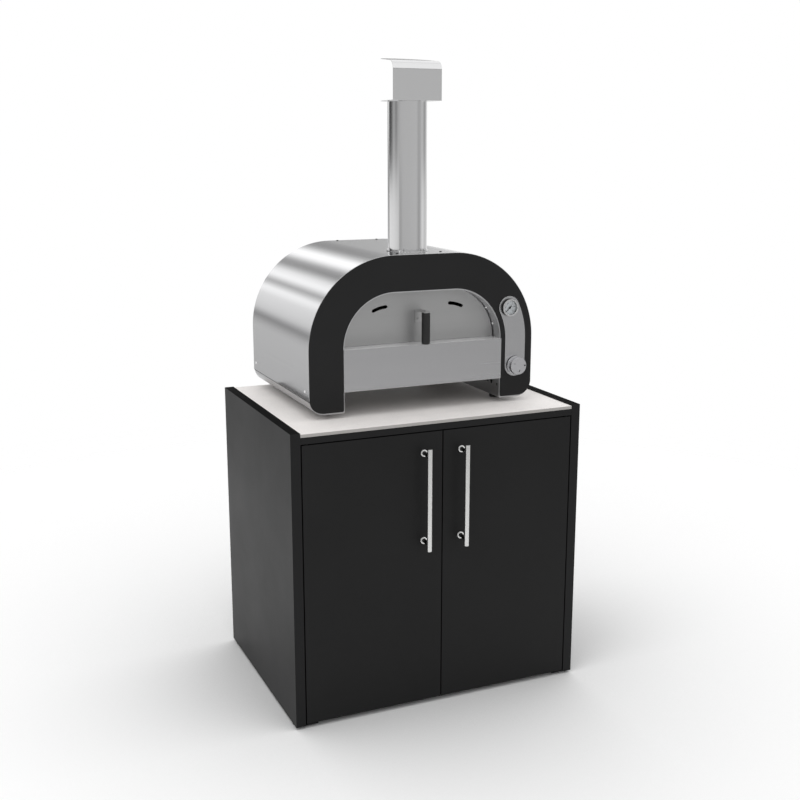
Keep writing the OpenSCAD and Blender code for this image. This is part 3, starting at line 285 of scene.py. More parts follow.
def rubbed_edges() -> Tree:
    """Builds the group that finds a piece's outer edges, broken up as hands and cloths wear them; it marks
    real wear on some finishes and painted highlight or shade on others.

    Returns:
        The group's tree, with the output Mask from 0 to 1.
    """
    kit, given, leave = new_group("rubbed_edges", "Mask", Vector=(0.0, 0.0, 0.0), Reach=0.0012, Breaks=90.0)
    eased = kit.put("Bevel", {"Radius": given["Reach"]}, samples=4).outputs[0]
    flat = kit.put("NewGeometry").outputs["Normal"]
    turn = kit.put("VectorMath", {0: eased, 1: flat}, operation="DOT_PRODUCT").outputs["Value"]
    broken = kit.spread(kit.noise(given["Vector"], given["Breaks"], 3.0), 0.35, 0.62, 0.25, 1.0)
    kit.join(kit.times(kit.spread(turn, 0.99, 0.86), broken, clamp=True), leave.inputs["Mask"])
    return kit.tree


def settled_dust() -> Tree:
    """Builds the group for faces that look up, in patches: for fine dust, and for painted light or shade on
    top faces.

    Returns:
        The group's tree, with the output Mask from 0 to 1.
    """
    kit, given, leave = new_group("settled_dust", "Mask", Vector=(0.0, 0.0, 0.0), Amount=0.1, Scale=14.0)
    lying = kit.spread(kit.normal_z(), 0.55, 0.95)
    patches = kit.spread(kit.noise(given["Vector"], given["Scale"], 6.0), 0.4, 0.75, 0.2, 1.0)
    kit.join(kit.times(kit.times(lying, patches), given["Amount"], clamp=True), leave.inputs["Mask"])
    return kit.tree


def crevices() -> Tree:
    """Builds the group for painted shade in narrow gaps between boards, where no light comes back out.

    Returns:
        The group's tree, with the output Mask from 0 to 1.
    """
    kit, given, leave = new_group("crevices", "Mask", Reach=0.012)
    near = kit.put("AmbientOcclusion", {"Distance": given["Reach"]}, samples=4).outputs["AO"]
    kit.join(kit.spread(near, 0.3, 0.6, 1.0, 0.0), leave.inputs["Mask"])
    return kit.tree


GROUPS: dict[str, Callable[[], Tree]] = {
    build.__name__: build for build in (brushed_grain, mottle, speckle, rubbed_edges, settled_dust, crevices)}


# Finishes ---------------------------------------------------------------------------------------

class Grain(Enum):
    """Which way a metal was brushed, as a noise scale for each axis."""

    ACROSS = (8.0, 900.0, 900.0)
    DEEP = (900.0, 8.0, 900.0)
    UPRIGHT = (900.0, 900.0, 8.0)
    NONE = (260.0, 260.0, 260.0)


@dataclass(frozen=True)
class Finish:
    """A finish of the object, named after the record's slot, with its colour as seen on a screen."""

    slot: str
    colour: Colour
    roughness: float
    label: str = field(default="", kw_only=True)

    def material(self) -> bpy.types.Material:
        """Builds the finish's material on its first use.

        Returns:
            The material, shared by all that have this finish.
        """
        name = (self.label or self.slot) + "_finish"
        made = bpy.data.materials.get(name)
        if not made:
            made = bpy.data.materials.new(name)
            made.use_nodes = True
            tree = made.node_tree
            kit = Wires(tree, tree.nodes["Principled BSDF"], Wires(tree).put("TexCoord").outputs["Object"])
            kit.shade(Base_Color=linear(self.colour), Roughness=self.roughness)
            self.wire(kit)
        return made

    def wire(self, kit: Wires) -> None:
        """Wires the finish's pattern into its shader; each kind of finish has its own."""
        raise NotImplementedError

    def vary(self, kit: Wires, mask: Socket, depth: float, rough: float) -> Socket:
        """Lets a mask lighten and darken the colour and change the roughness.

        Args:
            kit: the material's wires.
            mask: a value from 0 to 1.
            depth: how far the colour changes, as a share of itself.
            rough: how far the roughness changes.

        Returns:
            The changed colour's socket.
        """
        base = linear(self.colour)
        colour = kit.mixed(mask, toned(base, 1 - depth), toned(base, 1 + depth))
        level = kit.spread(mask, 0.0, 1.0, self.roughness - rough, self.roughness + rough)
        kit.shade(Base_Color=colour, Roughness=level)
        return colour


@dataclass(frozen=True)
class Laminate(Finish):
    """Matte board laminate with a fine pressed texture and a little wear, painted shade on faces that look up
    and painted shade in narrow gaps.
    """

    gloss: float = 0.16
    worn: float = 0.3
    # Amount and grey of the painted shade on faces that look up
    painted_top_shade: float = 2.2
    painted_top_shade_level: float = 0.0012
    sway: float = 0.035

    def wire(self, kit: Wires) -> None:
        """Wires patches of sheen, flecks, rubbed edges, painted shade on tops, painted shade in gaps, and
        pores.

        Args:
            kit: the material's wires.
        """
        kit.shade(Specular_IOR_Level=self.gloss, IOR=1.42)
        sheen = kit.patches(3.5, 5.0)
        colour = self.vary(kit, sheen, 0.07, self.sway)
        base = linear(self.colour)
        fleck = kit.use("speckle", Scale=520.0, Size=0.34)["Mask"]
        colour = kit.mixed(kit.times(fleck, 0.35), colour, toned(base, 1.5, 0.002))
        colour = kit.mixed(kit.times(kit.edges(), self.worn), colour, toned(base, 2.2, 0.012))
        # Painted shade: faces that look up turn near black and rough
        painted_top_shade = kit.use("settled_dust", Amount=self.painted_top_shade, Scale=0.1)["Mask"]
        colour = kit.mixed(painted_top_shade, colour, grey(self.painted_top_shade_level))
        # Painted shade: narrow gaps between boards turn black
        colour = kit.mixed(kit.use("crevices")["Mask"], colour, grey(0.0))
        gloss = kit.spread(sheen, 0.0, 1.0, self.roughness - self.sway, self.roughness + self.sway)
        kit.shade(Base_Color=colour, Roughness=kit.sums("ADD", gloss, painted_top_shade, clamp=True))
        kit.emboss(kit.patches(1300.0, 2.0), 0.02, 0.5)


@dataclass(frozen=True)
class Slab(Finish):
    """Honed pale slab with fine grains of several greys and faint clouds, with painted shade on its upright
    sides and edges.
    """

    grains: tuple[tuple[float, float, Colour, float], ...] = (
        (420.0, 0.42, (0.62, 0.6, 0.58), 0.5),
        (230.0, 0.3, (0.72, 0.71, 0.69), 0.55),
        (330.0, 0.36, (0.97, 0.96, 0.95), 0.7),
    )
    # Painted shade: the greys of the upright sides and of the edges
    side: Colour = (0.62, 0.61, 0.6)
    edge: Colour = (0.55, 0.54, 0.53)

    def wire(self, kit: Wires) -> None:
        """Wires clouds, grains, painted shade on the upright sides and edges, and a slightly open surface.

        Args:
            kit: the material's wires.
        """
        kit.shade(Specular_IOR_Level=0.12)
        colour = self.vary(kit, kit.patches(11.0, 7.0), 0.035, 0.04)
        for scale, size, tone, share in self.grains:
            fleck = kit.use("speckle", Scale=scale, Size=size)
            amount = kit.times(fleck["Mask"], kit.times(fleck["Shade"], share))
            colour = kit.mixed(amount, colour, linear(tone))
        # Painted shade: upright sides and edges are darker than the top
        painted_side_shade = kit.spread(kit.sums("ABSOLUTE", kit.normal_z()), 0.3, 0.8, 1.0, 0.0)
        colour = kit.mixed(painted_side_shade, colour, linear(self.side))
        colour = kit.mixed(kit.times(kit.edges(0.002), 0.6), colour, linear(self.edge))
        kit.shade(Base_Color=colour)
        kit.emboss(kit.patches(700.0, 3.0), 0.03, 0.45)


@dataclass(frozen=True)
class Metal(Finish):
    """Brushed or turned metal: fine streaks in its gloss, broad ones in its tone, and painted light on its
    edges.
    """

    grain: Grain = Grain.DEEP
    depth: float = 0.05
    stain: float = 0.0
    press: float = 0.25
    # lift: amount of painted light on faces that look up, in the edges' pale, less metallic tone
    lift: float = 0.0
    # Grey and metallic of the painted highlight or shadow along the edges
    painted_edge_tone: float = 0.85
    metal: float = 1.0
    painted_edge_metallic: float = 0.35
    heat: Colour = (0.42, 0.36, 0.3)

    def wire(self, kit: Wires) -> None:
        """Wires the streaks, a stain from heat where there is one, and a painted highlight or shadow on edges
        and, where lift is set, painted light on tops.

        Args:
            kit: the material's wires.
        """
        streaks = kit.use("brushed_grain", Stretch=self.grain.value)
        colour = self.vary(kit, streaks["Broad"], self.depth, self.depth * 0.5)
        if self.stain:
            colour = kit.mixed(kit.times(kit.patches(7.0, 5.0), self.stain), colour, linear(self.heat))
        # Painted highlight or shadow: edges take their own grey and turn less metallic, so they look lit or
        # shaded from any side
        edge = kit.times(kit.edges(0.0008), 0.8)
        # Painted light: faces that look up take the edges' tone
        if self.lift:
            edge = kit.sums("MAXIMUM", edge, kit.use("settled_dust", Amount=self.lift, Scale=0.1)["Mask"])
        kit.shade(Base_Color=kit.mixed(edge, colour, grey(self.painted_edge_tone)),
                  Metallic=kit.spread(edge, 0.0, 1.0, self.metal, self.painted_edge_metallic))
        kit.emboss(streaks["Fine"], 0.004, self.press)


@dataclass(frozen=True)
class Enamel(Finish):
    """Baked matte coat on sheet metal, with a faint orange peel and thin bright wear at its edges."""

    gloss: float = 0.22
    worn: float = 0.25
    bare: Colour = (0.42, 0.42, 0.42)

    def wire(self, kit: Wires) -> None:
        """Wires the coat's patches, its peel and its worn edges.

        Args:
            kit: the material's wires.
        """
        kit.shade(Specular_IOR_Level=self.gloss)
        colour = self.vary(kit, kit.patches(5.0), 0.08, 0.03)
        worn = kit.times(kit.edges(0.0009), self.worn)
        kit.shade(Base_Color=kit.mixed(worn, colour, linear(self.bare)))
        kit.emboss(kit.patches(420.0, 1.0), 0.03, 0.4)


@dataclass(frozen=True)
class Moulded(Finish):
    """Moulded rubber or plastic with a fine spark-eroded texture and a little dust."""

    texture: float = 900.0
    dusty: float = 0.12
    dust: Colour = (0.5, 0.49, 0.47)

    def wire(self, kit: Wires) -> None:
        """Wires patches, dust and the mould's texture.

        Args:
            kit: the material's wires.
        """
        colour = self.vary(kit, kit.patches(24.0), 0.12, 0.05)
        laid = kit.use("settled_dust", Amount=self.dusty, Scale=40.0)["Mask"]
        kit.shade(Base_Color=kit.mixed(laid, colour, linear(self.dust)))
        kit.emboss(kit.patches(self.texture, 2.0), 0.03, 0.5)


@dataclass(frozen=True)
class Fired(Finish):
    """Fired or pressed mineral material: grains, pores and uneven firing."""

    pores: float = 260.0
    scorch: float = 0.0
    burnt: Colour = (0.3, 0.22, 0.16)

    def wire(self, kit: Wires) -> None:
        """Wires grains, pores and a scorch where there is one.

        Args:
            kit: the material's wires.
        """
        kit.shade(Specular_IOR_Level=0.2)
        colour = self.vary(kit, kit.patches(6.0, 6.0), 0.07, 0.03)
        grains = kit.use("speckle", Scale=self.pores * 1.4, Size=0.4)["Mask"]
        colour = kit.mixed(kit.times(grains, 0.5), colour, toned(linear(self.colour), 0.55))
        if self.scorch:
            amount = kit.times(kit.spread(kit.patches(13.0, 5.0), 0.55, 1.0), self.scorch)
            colour = kit.mixed(amount, colour, linear(self.burnt))
        kit.shade(Base_Color=colour)
        holes = kit.use("speckle", Scale=self.pores, Size=0.5)["Mask"]
        kit.emboss(kit.sums("SUBTRACT", kit.patches(self.pores * 2.0), holes), 0.25, 0.7)


@dataclass(frozen=True)
class Wool(Finish):
    """Ceramic fibre blanket: matted short fibres."""

    def wire(self, kit: Wires) -> None:
        """Wires tufts and fibres.

        Args:
            kit: the material's wires.
        """
        kit.shade(Specular_IOR_Level=0.05)
        tufts = kit.patches(55.0, 8.0)
        self.vary(kit, tufts, 0.12, 0.0)
        fibres = kit.use("brushed_grain", Stretch=(160.0, 160.0, 30.0))["Fine"]
        kit.emboss(kit.sums("ADD", tufts, fibres), 0.8, 0.8)


@dataclass(frozen=True)
class Pane(Finish):
    """Clear glass with the faintest handling marks in its gloss only."""

    def wire(self, kit: Wires) -> None:
        """Makes the glass clear and wires the marks."""
        marks = kit.spread(kit.patches(120.0), 0.4, 1.0, self.roughness, self.roughness + 0.03)
        kit.shade(Transmission_Weight=1.0, IOR=1.46, Roughness=marks)


CARCASS = Laminate("carcass_laminate", (0.11, 0.11, 0.112), 0.42)
DOOR = Laminate("door_laminate", (0.111, 0.111, 0.112), 0.42)
SLAB = Slab("worktop_slab", (0.945, 0.93, 0.92), 0.42)
RUBBER = Moulded("rubber", (0.06, 0.06, 0.06), 0.75)
NYLON = Moulded("nylon", (0.16, 0.16, 0.165), 0.5)
ZINC = Metal("zinc_steel", (0.7, 0.71, 0.73), 0.34, Grain.NONE, 0.1)
# Painted shade: a near-black copy of the zinc steel, with near-black edges, for the pivots seen in the door
# gaps
PIVOT_STEEL_PAINTED_SHADE = Metal("zinc_steel", (0.16, 0.16, 0.165), 0.5, Grain.NONE, 0.1, painted_edge_tone=0.03,
                    label="pivot_steel")
# Painted shade: a dark copy of the handle metal, with near-black edges, for the posts
POST_PAINTED_SHADE = Metal("satin_handle", (0.14, 0.14, 0.14), 0.4, Grain.NONE, 0.01, painted_edge_tone=0.02, label="handle_post")
HANDLE = Metal("satin_handle", (0.84, 0.84, 0.835), 0.24, Grain.UPRIGHT, 0.03)
# Painted highlight: the rosette rings are near white and half metallic, so they look lit from any side
RING_PAINTED_HIGHLIGHT = Metal("satin_handle", (0.96, 0.96, 0.955), 0.25, Grain.NONE, 0.01, press=0.02, metal=0.4,
             label="rosette")
SHELL = Metal("stainless_shell", (0.86, 0.86, 0.865), 0.15, Grain.DEEP, 0.01, press=0.1)
# Painted light: the front's faces that look up, such as the apron's ledge, are paler and less metallic
FRONT = Metal("stainless_front", (0.735, 0.735, 0.74), 0.27, Grain.ACROSS, 0.008, press=0.02, lift=2.2)
LINER = Metal("stainless_front", (0.78, 0.78, 0.785), 0.3, Grain.DEEP, 0.01, press=0.02, label="mouth_liner")
# Painted highlight: the legs' edges are white
LEGS = Metal("stainless_front", (0.66, 0.66, 0.665), 0.3, Grain.UPRIGHT, 0.01, press=0.02, painted_edge_tone=1.0,
             label="oven_legs")
CHAMBER = Metal("stainless_chamber", (0.62, 0.6, 0.57), 0.38, Grain.ACROSS, 0.08, 0.35)
# Painted shade: a dark copy of the chamber steel for the floor tray under the oven
TRAY_PAINTED_SHADE = Metal("stainless_chamber", (0.3, 0.29, 0.28), 0.5, Grain.ACROSS, 0.08, 0.35, label="floor_tray")
OVEN_DOOR = Metal("oven_door_steel", (0.67, 0.67, 0.67), 0.45, Grain.ACROSS, 0.01, press=0.03)
BRACKET = Metal("satin_handle", (0.7, 0.7, 0.7), 0.4, Grain.NONE, 0.01, press=0.03, label="door_bracket")
BLACK = Enamel("black_enamel", (0.096, 0.096, 0.098), 0.4)
BLANKET = Wool("blanket", (0.88, 0.87, 0.82), 0.95)
BOARD = Fired("fibre_board", (0.84, 0.81, 0.74), 0.9, 400.0)
STONE = Fired("baking_stone", (0.8, 0.73, 0.6), 0.85, 260.0, 0.3)
BURNER = Metal("burner_steel", (0.5, 0.48, 0.45), 0.4, Grain.DEEP, 0.1, 0.5)
PROBE = Fired("probe_ceramic", (0.86, 0.85, 0.82), 0.5, 700.0)
BRASS = Metal("brass", (0.78, 0.63, 0.34), 0.25, Grain.NONE, 0.08)
KNOB_METAL = Metal("knob_metal", (0.79, 0.79, 0.8), 0.27, Grain.NONE, 0.01, press=0.03)
GAUGE_CASE = Metal("gauge_case", (0.86, 0.86, 0.86), 0.2, Grain.NONE, 0.01, press=0.03)
DIAL = Metal("gauge_dial", (0.78, 0.78, 0.79), 0.5, Grain.NONE, 0.02)
NEEDLE = Enamel("gauge_needle", (0.02, 0.02, 0.02), 0.6, 0.1, 0.0)
GLASS = Pane("gauge_glass", (0.97, 0.98, 0.98), 0.02)
# Painted shadow: the flue's edges are near black, as shadow lines
FLUE = Metal("flue_steel", (0.86, 0.86, 0.862), 0.13, Grain.UPRIGHT, 0.004, press=0.02, painted_edge_tone=0.12)
# Painted highlight: near-white, half metallic screw heads that look lit from any side
SCREW_PAINTED_HIGHLIGHT = Metal("screw_steel", (0.97, 0.97, 0.97), 0.25, Grain.NONE, 0.01, metal=0.4)
GRIP = Moulded("black_grip", (0.045, 0.045, 0.045), 0.38, 500.0)


# Modelling tools --------------------------------------------------------------------------------

# The radius of a tip before its points merge, in millimetres; the gap in metres that merging closes;
# and in degrees, the turn that still counts as flat, and the one that is still shaded round
TIP_R = 0.001
MERGE_GAP = 2e-6
FLAT_TURN = 0.4
ROUND_TURN = 50.0


def clear_selection() -> None:
    """Deselects every object, because the CAD nodes stay selected after loading."""
    bpy.ops.object.select_all(action="DESELECT")


def choose(piece: Piece) -> None:
    """Makes one object the only selected and active one.

    Args:
        piece: the object.
    """
    clear_selection()
    piece.select_set(True)
    bpy.context.view_layer.objects.active = piece


def point(x: float, y: float, z: float) -> Vector:
    """Returns a point given in millimetres as a vector in metres."""
    return Vector((x, y, z)) * MM


def placed(name: str, data: bpy.types.ID) -> Piece:
    """Puts a new object into the scene.

    Args:
        name: the object's name.
        data: its mesh, lamp or camera.

    Returns:
        The new object.
    """
    piece = bpy.data.objects.new(name, data)
    bpy.context.scene.collection.objects.link(piece)
    return piece


def modified(piece: Piece, kind: str, **settings: object) -> None:
    """Adds a modifier with the given settings to the chosen piece and applies it.

    Args:
        piece: the mesh object, selected and active.
        kind: the modifier's type.
        settings: its attributes.
    """
    change = piece.modifiers.new(kind, kind)
    for name, value in settings.items():
        setattr(change, name, value)
    bpy.ops.object.modifier_apply(modifier=change.name)


def smooth(piece: Piece, edge: float = 0.0, segments: int = 2, limit: float = 35.0) -> None:
    """Rounds a piece's sharp edges and shades its curves smooth, with its flats kept flat.

    Args:
        piece: the mesh object.
        edge: radius of the rounding in millimetres, or 0 for none.
        segments: faces across each rounding.
        limit: edges that turn more than this, in degrees, are rounded.
    """
    choose(piece)
    if edge:
        modified(piece, "BEVEL", width=edge * MM, segments=segments, limit_method="ANGLE",
                 angle_limit=math.radians(limit), use_clamp_overlap=False, miter_outer="MITER_ARC")
    bpy.ops.object.shade_smooth_by_angle(angle=math.radians(ROUND_TURN if edge else limit))
    modified(piece, "WEIGHTED_NORMAL", keep_sharp=True, weight=100)


def carried(node: str, edge: float = 0.4, segments: int = 2) -> Piece:
    """Models a piece over a CAD node's shape: merged, with its sharp edges rounded.

    Args:
        node: the CAD node's name.
        edge: radius of the rounding in millimetres.
        segments: faces across each rounding.

    Returns:
        The new object.
    """
    piece = placed(node + "_piece", frame["nodes"][node].data.copy())
    choose(piece)
    bpy.ops.mesh.customdata_custom_splitnormals_clear()
    bpy.ops.object.mode_set(mode="EDIT")
    bpy.ops.mesh.select_all(action="SELECT")
    bpy.ops.mesh.remove_doubles(threshold=MERGE_GAP)
    bpy.ops.mesh.dissolve_limited(angle_limit=math.radians(FLAT_TURN))
    bpy.ops.object.mode_set(mode="OBJECT")
    smooth(piece, edge, segments)
    return piece


def turned(name: str, profile: Profile, sides: int = 48, centre: Vector = HERE, axis: Vector = UP) -> Piece:
    """Turns a piece on a lathe: a disc is extruded and resized from one step of a profile to the next.

    Args:
        name: the object's name.
        profile: radius and height of each step, in millimetres; a last radius of 0 ends it in a point.
        sides: faces round the piece.
        centre: where height 0 lies, in metres.
        axis: direction in which heights grow, of length 1.

    Returns:
        The new object, closed at both ends.
    """
    turn = UP.rotation_difference(axis).to_euler()
    clear_selection()
    radius, height = profile[0]
    bpy.ops.mesh.primitive_circle_add(vertices=sides, radius=radius * MM, fill_type="NGON",
                                      location=centre + axis * height * MM, rotation=turn)
    piece = bpy.context.object
    piece.name = name
    bpy.ops.object.transform_apply(location=True, rotation=True, scale=True)
    bpy.ops.object.mode_set(mode="EDIT")
    bpy.ops.mesh.select_all(action="SELECT")
    for wide, high in profile[1:]:
        wide = max(wide, TIP_R)
        scale = wide / radius
        bpy.ops.mesh.extrude_region_move(TRANSFORM_OT_translate={"value": axis * (high - height) * MM})
        bpy.ops.transform.resize(value=(scale, scale, scale), center_override=centre + axis * high * MM)
        radius, height = wide, high
    if profile[-1][0] == 0:
        bpy.ops.mesh.merge(type="CENTER")
    bpy.ops.mesh.select_all(action="SELECT")
    bpy.ops.mesh.remove_doubles(threshold=MERGE_GAP)
    bpy.ops.mesh.normals_make_consistent(inside=False)
    bpy.ops.object.mode_set(mode="OBJECT")
    return piece


def block(name: str, low: Vector, high: Vector, edge: float) -> Piece:
    """Models a rectangular piece with rounded edges.

    Args:
        name: the object's name.
        low: its lowest corner, in metres.
        high: its highest corner, in metres.
        edge: radius of its edges, in millimetres.

    Returns:
        The new object.
    """
    clear_selection()
    bpy.ops.mesh.primitive_cube_add(size=1.0, location=(low + high) / 2, scale=high - low)
    piece = bpy.context.object
    piece.name = name
    bpy.ops.object.transform_apply(location=True, rotation=True, scale=True)
    smooth(piece, edge)
    return piece


def cut_away(piece: Piece, tool: Piece) -> None:
    """Cuts one piece's shape out of another and removes the tool.

    Args:
        piece: the piece that is cut.
        tool: the shape that is taken away.
    """
    choose(piece)
    modified(piece, "BOOLEAN", object=tool, solver="EXACT")
    bpy.data.objects.remove(tool)


def joined(name: str, pieces: Sequence[Piece]) -> Piece:
    """Joins pieces into one object.

    Args:
        name: the joined object's name.
        pieces: the objects, each with a mesh of its own.

    Returns:
        The joined object.
    """
    choose(pieces[0])
    for piece in pieces:
        piece.select_set(True)
    if len(pieces) > 1:
        bpy.ops.object.join()
    pieces[0].name = name
    return pieces[0]


def copies(name: str, pattern: Piece, places: Sequence[Matrix]) -> Piece:
    """Sets copies of one modelled pattern at several places and joins them.

    Args:
        name: the joined object's name.
        pattern: the pattern, modelled at the origin along +Z; it is removed.
        places: where each copy goes.

    Returns:
        The joined object.
    """
    made = []
    for place in places:
        mesh = pattern.data.copy()
        mesh.transform(place)
        made.append(placed(name, mesh))
    bpy.data.objects.remove(pattern)
    return joined(name, made)


def around(angle: float, radius: float) -> Vector:
    """Returns the step to an angle, anticlockwise from the right as seen from the front, at a radius."""
    return Vector((math.cos(angle), 0, math.sin(angle))) * radius * MM


def facing(place: Vector, normal: Vector) -> Matrix:
    """Returns the matrix that sets a pattern made along +Z on a face with the given normal."""
    return Matrix.Translation(place) @ UP.rotation_difference(normal).to_matrix().to_4x4()


def socket_screw(radius: float, height: float, shank: float, shank_l: float) -> Piece:
    """Models a button-head screw with a hexagon socket, its head on z = 0.

    Args:
        radius: radius of the head in millimetres.
        height: height of the head.
        shank: radius of the shank.
        shank_l: length of the shank below the head.

    Returns:
        The pattern object at the origin.
    """
    profile = [(shank, -shank_l), (shank, 0.0), (radius * 0.97, 0.0), (radius, height * 0.18),
               (radius * 0.94, height * 0.5), (radius * 0.78, height * 0.8), (radius * 0.52, height * 0.97),
               (radius * 0.3, height)]
    piece = turned("screw_pattern", profile, 24)
    cut_away(piece, turned("socket_tool", [(radius * 0.5, height * 0.35), (radius * 0.5, height * 2.0)], 6))
    smooth(piece)
    return piece


# Sub-assemblies ---------------------------------------------------------------------------------

BODY_OF = {node: body for body, nodes in frame["record"]["behaviour"]["bodies"].items() for node in nodes}


class Side(Enum):
    """The two sides of the object, with the sign of their X."""

    LEFT = -1
    RIGHT = 1


class Assembly:
    """What every sub-assembly does with its pieces."""

    def paint(self, finish: Finish, *nodes: str) -> None:
        """Gives CAD nodes that keep their shape a finish.

        Args:
            finish: the finish.
            nodes: names of the CAD nodes.
        """
        for node in nodes:
            for place in frame["nodes"][node].material_slots:
                place.material = finish.material()
            LOG.info("%s keeps its shape, in %s", node, finish.slot)

    def fit(self, piece: Piece, finish: Finish, *nodes: str, body: str = "cabinet") -> None:
        """Gives a piece its finish and body, and lets it stand for CAD nodes.

        Args:
            piece: the modelled piece.
            finish: its finish.
            nodes: CAD nodes that it stands for; the first one gives the body.
            body: the body of a piece that stands for no node.
        """
        piece.data.materials.clear()
        piece.data.materials.append(finish.material())
        if nodes:
            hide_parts(*nodes)
            body = BODY_OF[nodes[0]]
        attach(piece, body)
        LOG.info("%s rides on %s, %d faces", piece.name, body, len(piece.data.polygons))

    def carry(self, finish: Finish, edge: float, *nodes: str, segments: int = 2) -> None:
        """Models pieces over CAD nodes, with rounded edges, and fits them.

        Args:
            finish: their finish.
            edge: radius of the rounding in millimetres.
            nodes: the CAD nodes.
            segments: faces across each rounding.
        """
        for node in nodes:
            self.fit(carried(node, edge, segments), finish, node)


@dataclass
class Cabinet(Assembly):
    """The boards, slab and fittings of the cabinet, with sizes in millimetres."""

    board_edge: float = 0.6
    slab_edge: float = 1.1
    metal_edge: float = 0.25
    back_t: float = 12.0
    screw: tuple[float, float, float, float] = (3.6, 1.5, 1.6, 6.0)
    screw_xs: tuple[float, ...] = (-425.0, -212.0, 0.0, 212.0, 425.0)
    screw_zs: tuple[float, ...] = (20.0, 880.0)
    side_zs: tuple[float, ...] = (235.0, 450.0, 665.0)

    def build(self) -> None:
        """Models and fits every piece of the cabinet."""
        self.carry(CARCASS, self.board_edge, "side_panel_left", "side_panel_right", "bottom_panel",
                   "back_panel", "front_rail", "rear_rail", "shelf")
        self.carry(SLAB, self.slab_edge, "worktop", segments=3)
        self.carry(ZINC, self.metal_edge, "corner_brackets", "shelf_pins")
        self.carry(PIVOT_STEEL_PAINTED_SHADE, self.metal_edge, "pivot_plates", "top_pivot_pins")
        self.carry(NYLON, self.metal_edge, "magnet_catches", "glides")
        self.carry(RUBBER, self.metal_edge, "hose_grommet")
        self.back_screws()

    def back_screws(self) -> None:
        """Sets a row of screws round the edge of the back panel."""
        spots = [(x, z) for x in self.screw_xs for z in self.screw_zs]
        spots += [(x, z) for x in (self.screw_xs[0], self.screw_xs[-1]) for z in self.side_zs]
        places = [facing(point(x, BACK_PANEL_Y + self.back_t, z), BACK) for x, z in spots]
        self.fit(copies("back_panel_screws", socket_screw(*self.screw), places), ZINC)


@dataclass
class CabinetDoor(Assembly):
    """One cabinet door with its bar handle, with sizes in millimetres."""

    side: Side
    edge: float = 0.6
    fitting_edge: float = 0.2
    door_t: float = 19.0
    bar_r: float = 7.75
    post_r: float = 6.0
    rosette_r: float = 10.5
    rosette_t: float = 3.0
    step_t: float = 0.8
    rim_w: float = 3.4
    post_l: float = 37.6
    screw: tuple[float, float, float, float] = (4.75, 3.0, 2.5, 28.0)

    def build(self) -> None:
        """Models and fits every piece of the door."""
        end = self.side.name.lower()
        self.carry(DOOR, self.edge, "door_" + end)
        self.carry(NYLON, self.fitting_edge, "bushes_" + end)
        self.carry(ZINC, self.fitting_edge, "strike_" + end)
        self.bar("bar_" + end)
        self.posts("posts_" + end)
        self.screws("handle_screws_" + end)

    def places(self, y: float, way: Vector) -> list[Matrix]:
        """Returns where the two posts meet the door at the given depth, facing the given way."""
        return [facing(point(self.side.value * BAR_X, y, z), way) for z in POST_ZS]

    def bar(self, node: str) -> None:
        """Turns the upright bar, with softly rounded ends.

        Args:
            node: the CAD node that it stands for.
        """
        length = BAR_ENDS[1] - BAR_ENDS[0]
        r = self.bar_r
        end = [(r - 0.9, 0.0), (r - 0.45, 0.1), (r - 0.12, 0.4), (r, 0.9)]
        profile = end + [(radius, length - height) for radius, height in reversed(end)]
        bar = turned(node + "_piece", profile, centre=point(self.side.value * BAR_X, BAR_Y, BAR_ENDS[0]))
        smooth(bar)
        self.fit(bar, HANDLE, node)

    def posts(self, node: str) -> None:
        """Turns the two posts, painted dark as shade, and the ring of the rosette at the foot of each,
        painted bright as a highlight.

        Args:
            node: the CAD node that they stand for.
        """
        r, t = self.rosette_r, self.rosette_t
        inner = r - self.rim_w
        places = self.places(FRONT_Y, OUT)
        pattern = turned("post_pattern", [(r - 0.4, 0.0), (r - 0.4, self.step_t), (self.post_r, self.step_t),
                                          (self.post_r, self.post_l)], 40)
        smooth(pattern)
        self.fit(copies(node + "_piece", pattern, places), POST_PAINTED_SHADE, node)
        ring = turned("ring_pattern", [(r, 0.0), (r, t - 0.5), (r - 0.2, t - 0.1), (r - 0.5, t)])
        cut_away(ring, turned("hole", [(inner, -1.0), (inner, t + 1.0)]))
        smooth(ring)
        self.fit(copies("rosettes_" + self.side.name.lower(), ring, places), RING_PAINTED_HIGHLIGHT, body=BODY_OF[node])

    def screws(self, node: str) -> None:
        """Sets the handle's screws on the inside of the door.

        Args:
            node: the CAD node that they stand for.
        """
        places = self.places(FRONT_Y + self.door_t, BACK)
        self.fit(copies(node + "_piece", socket_screw(*self.screw), places), SCREW_PAINTED_HIGHLIGHT, node)


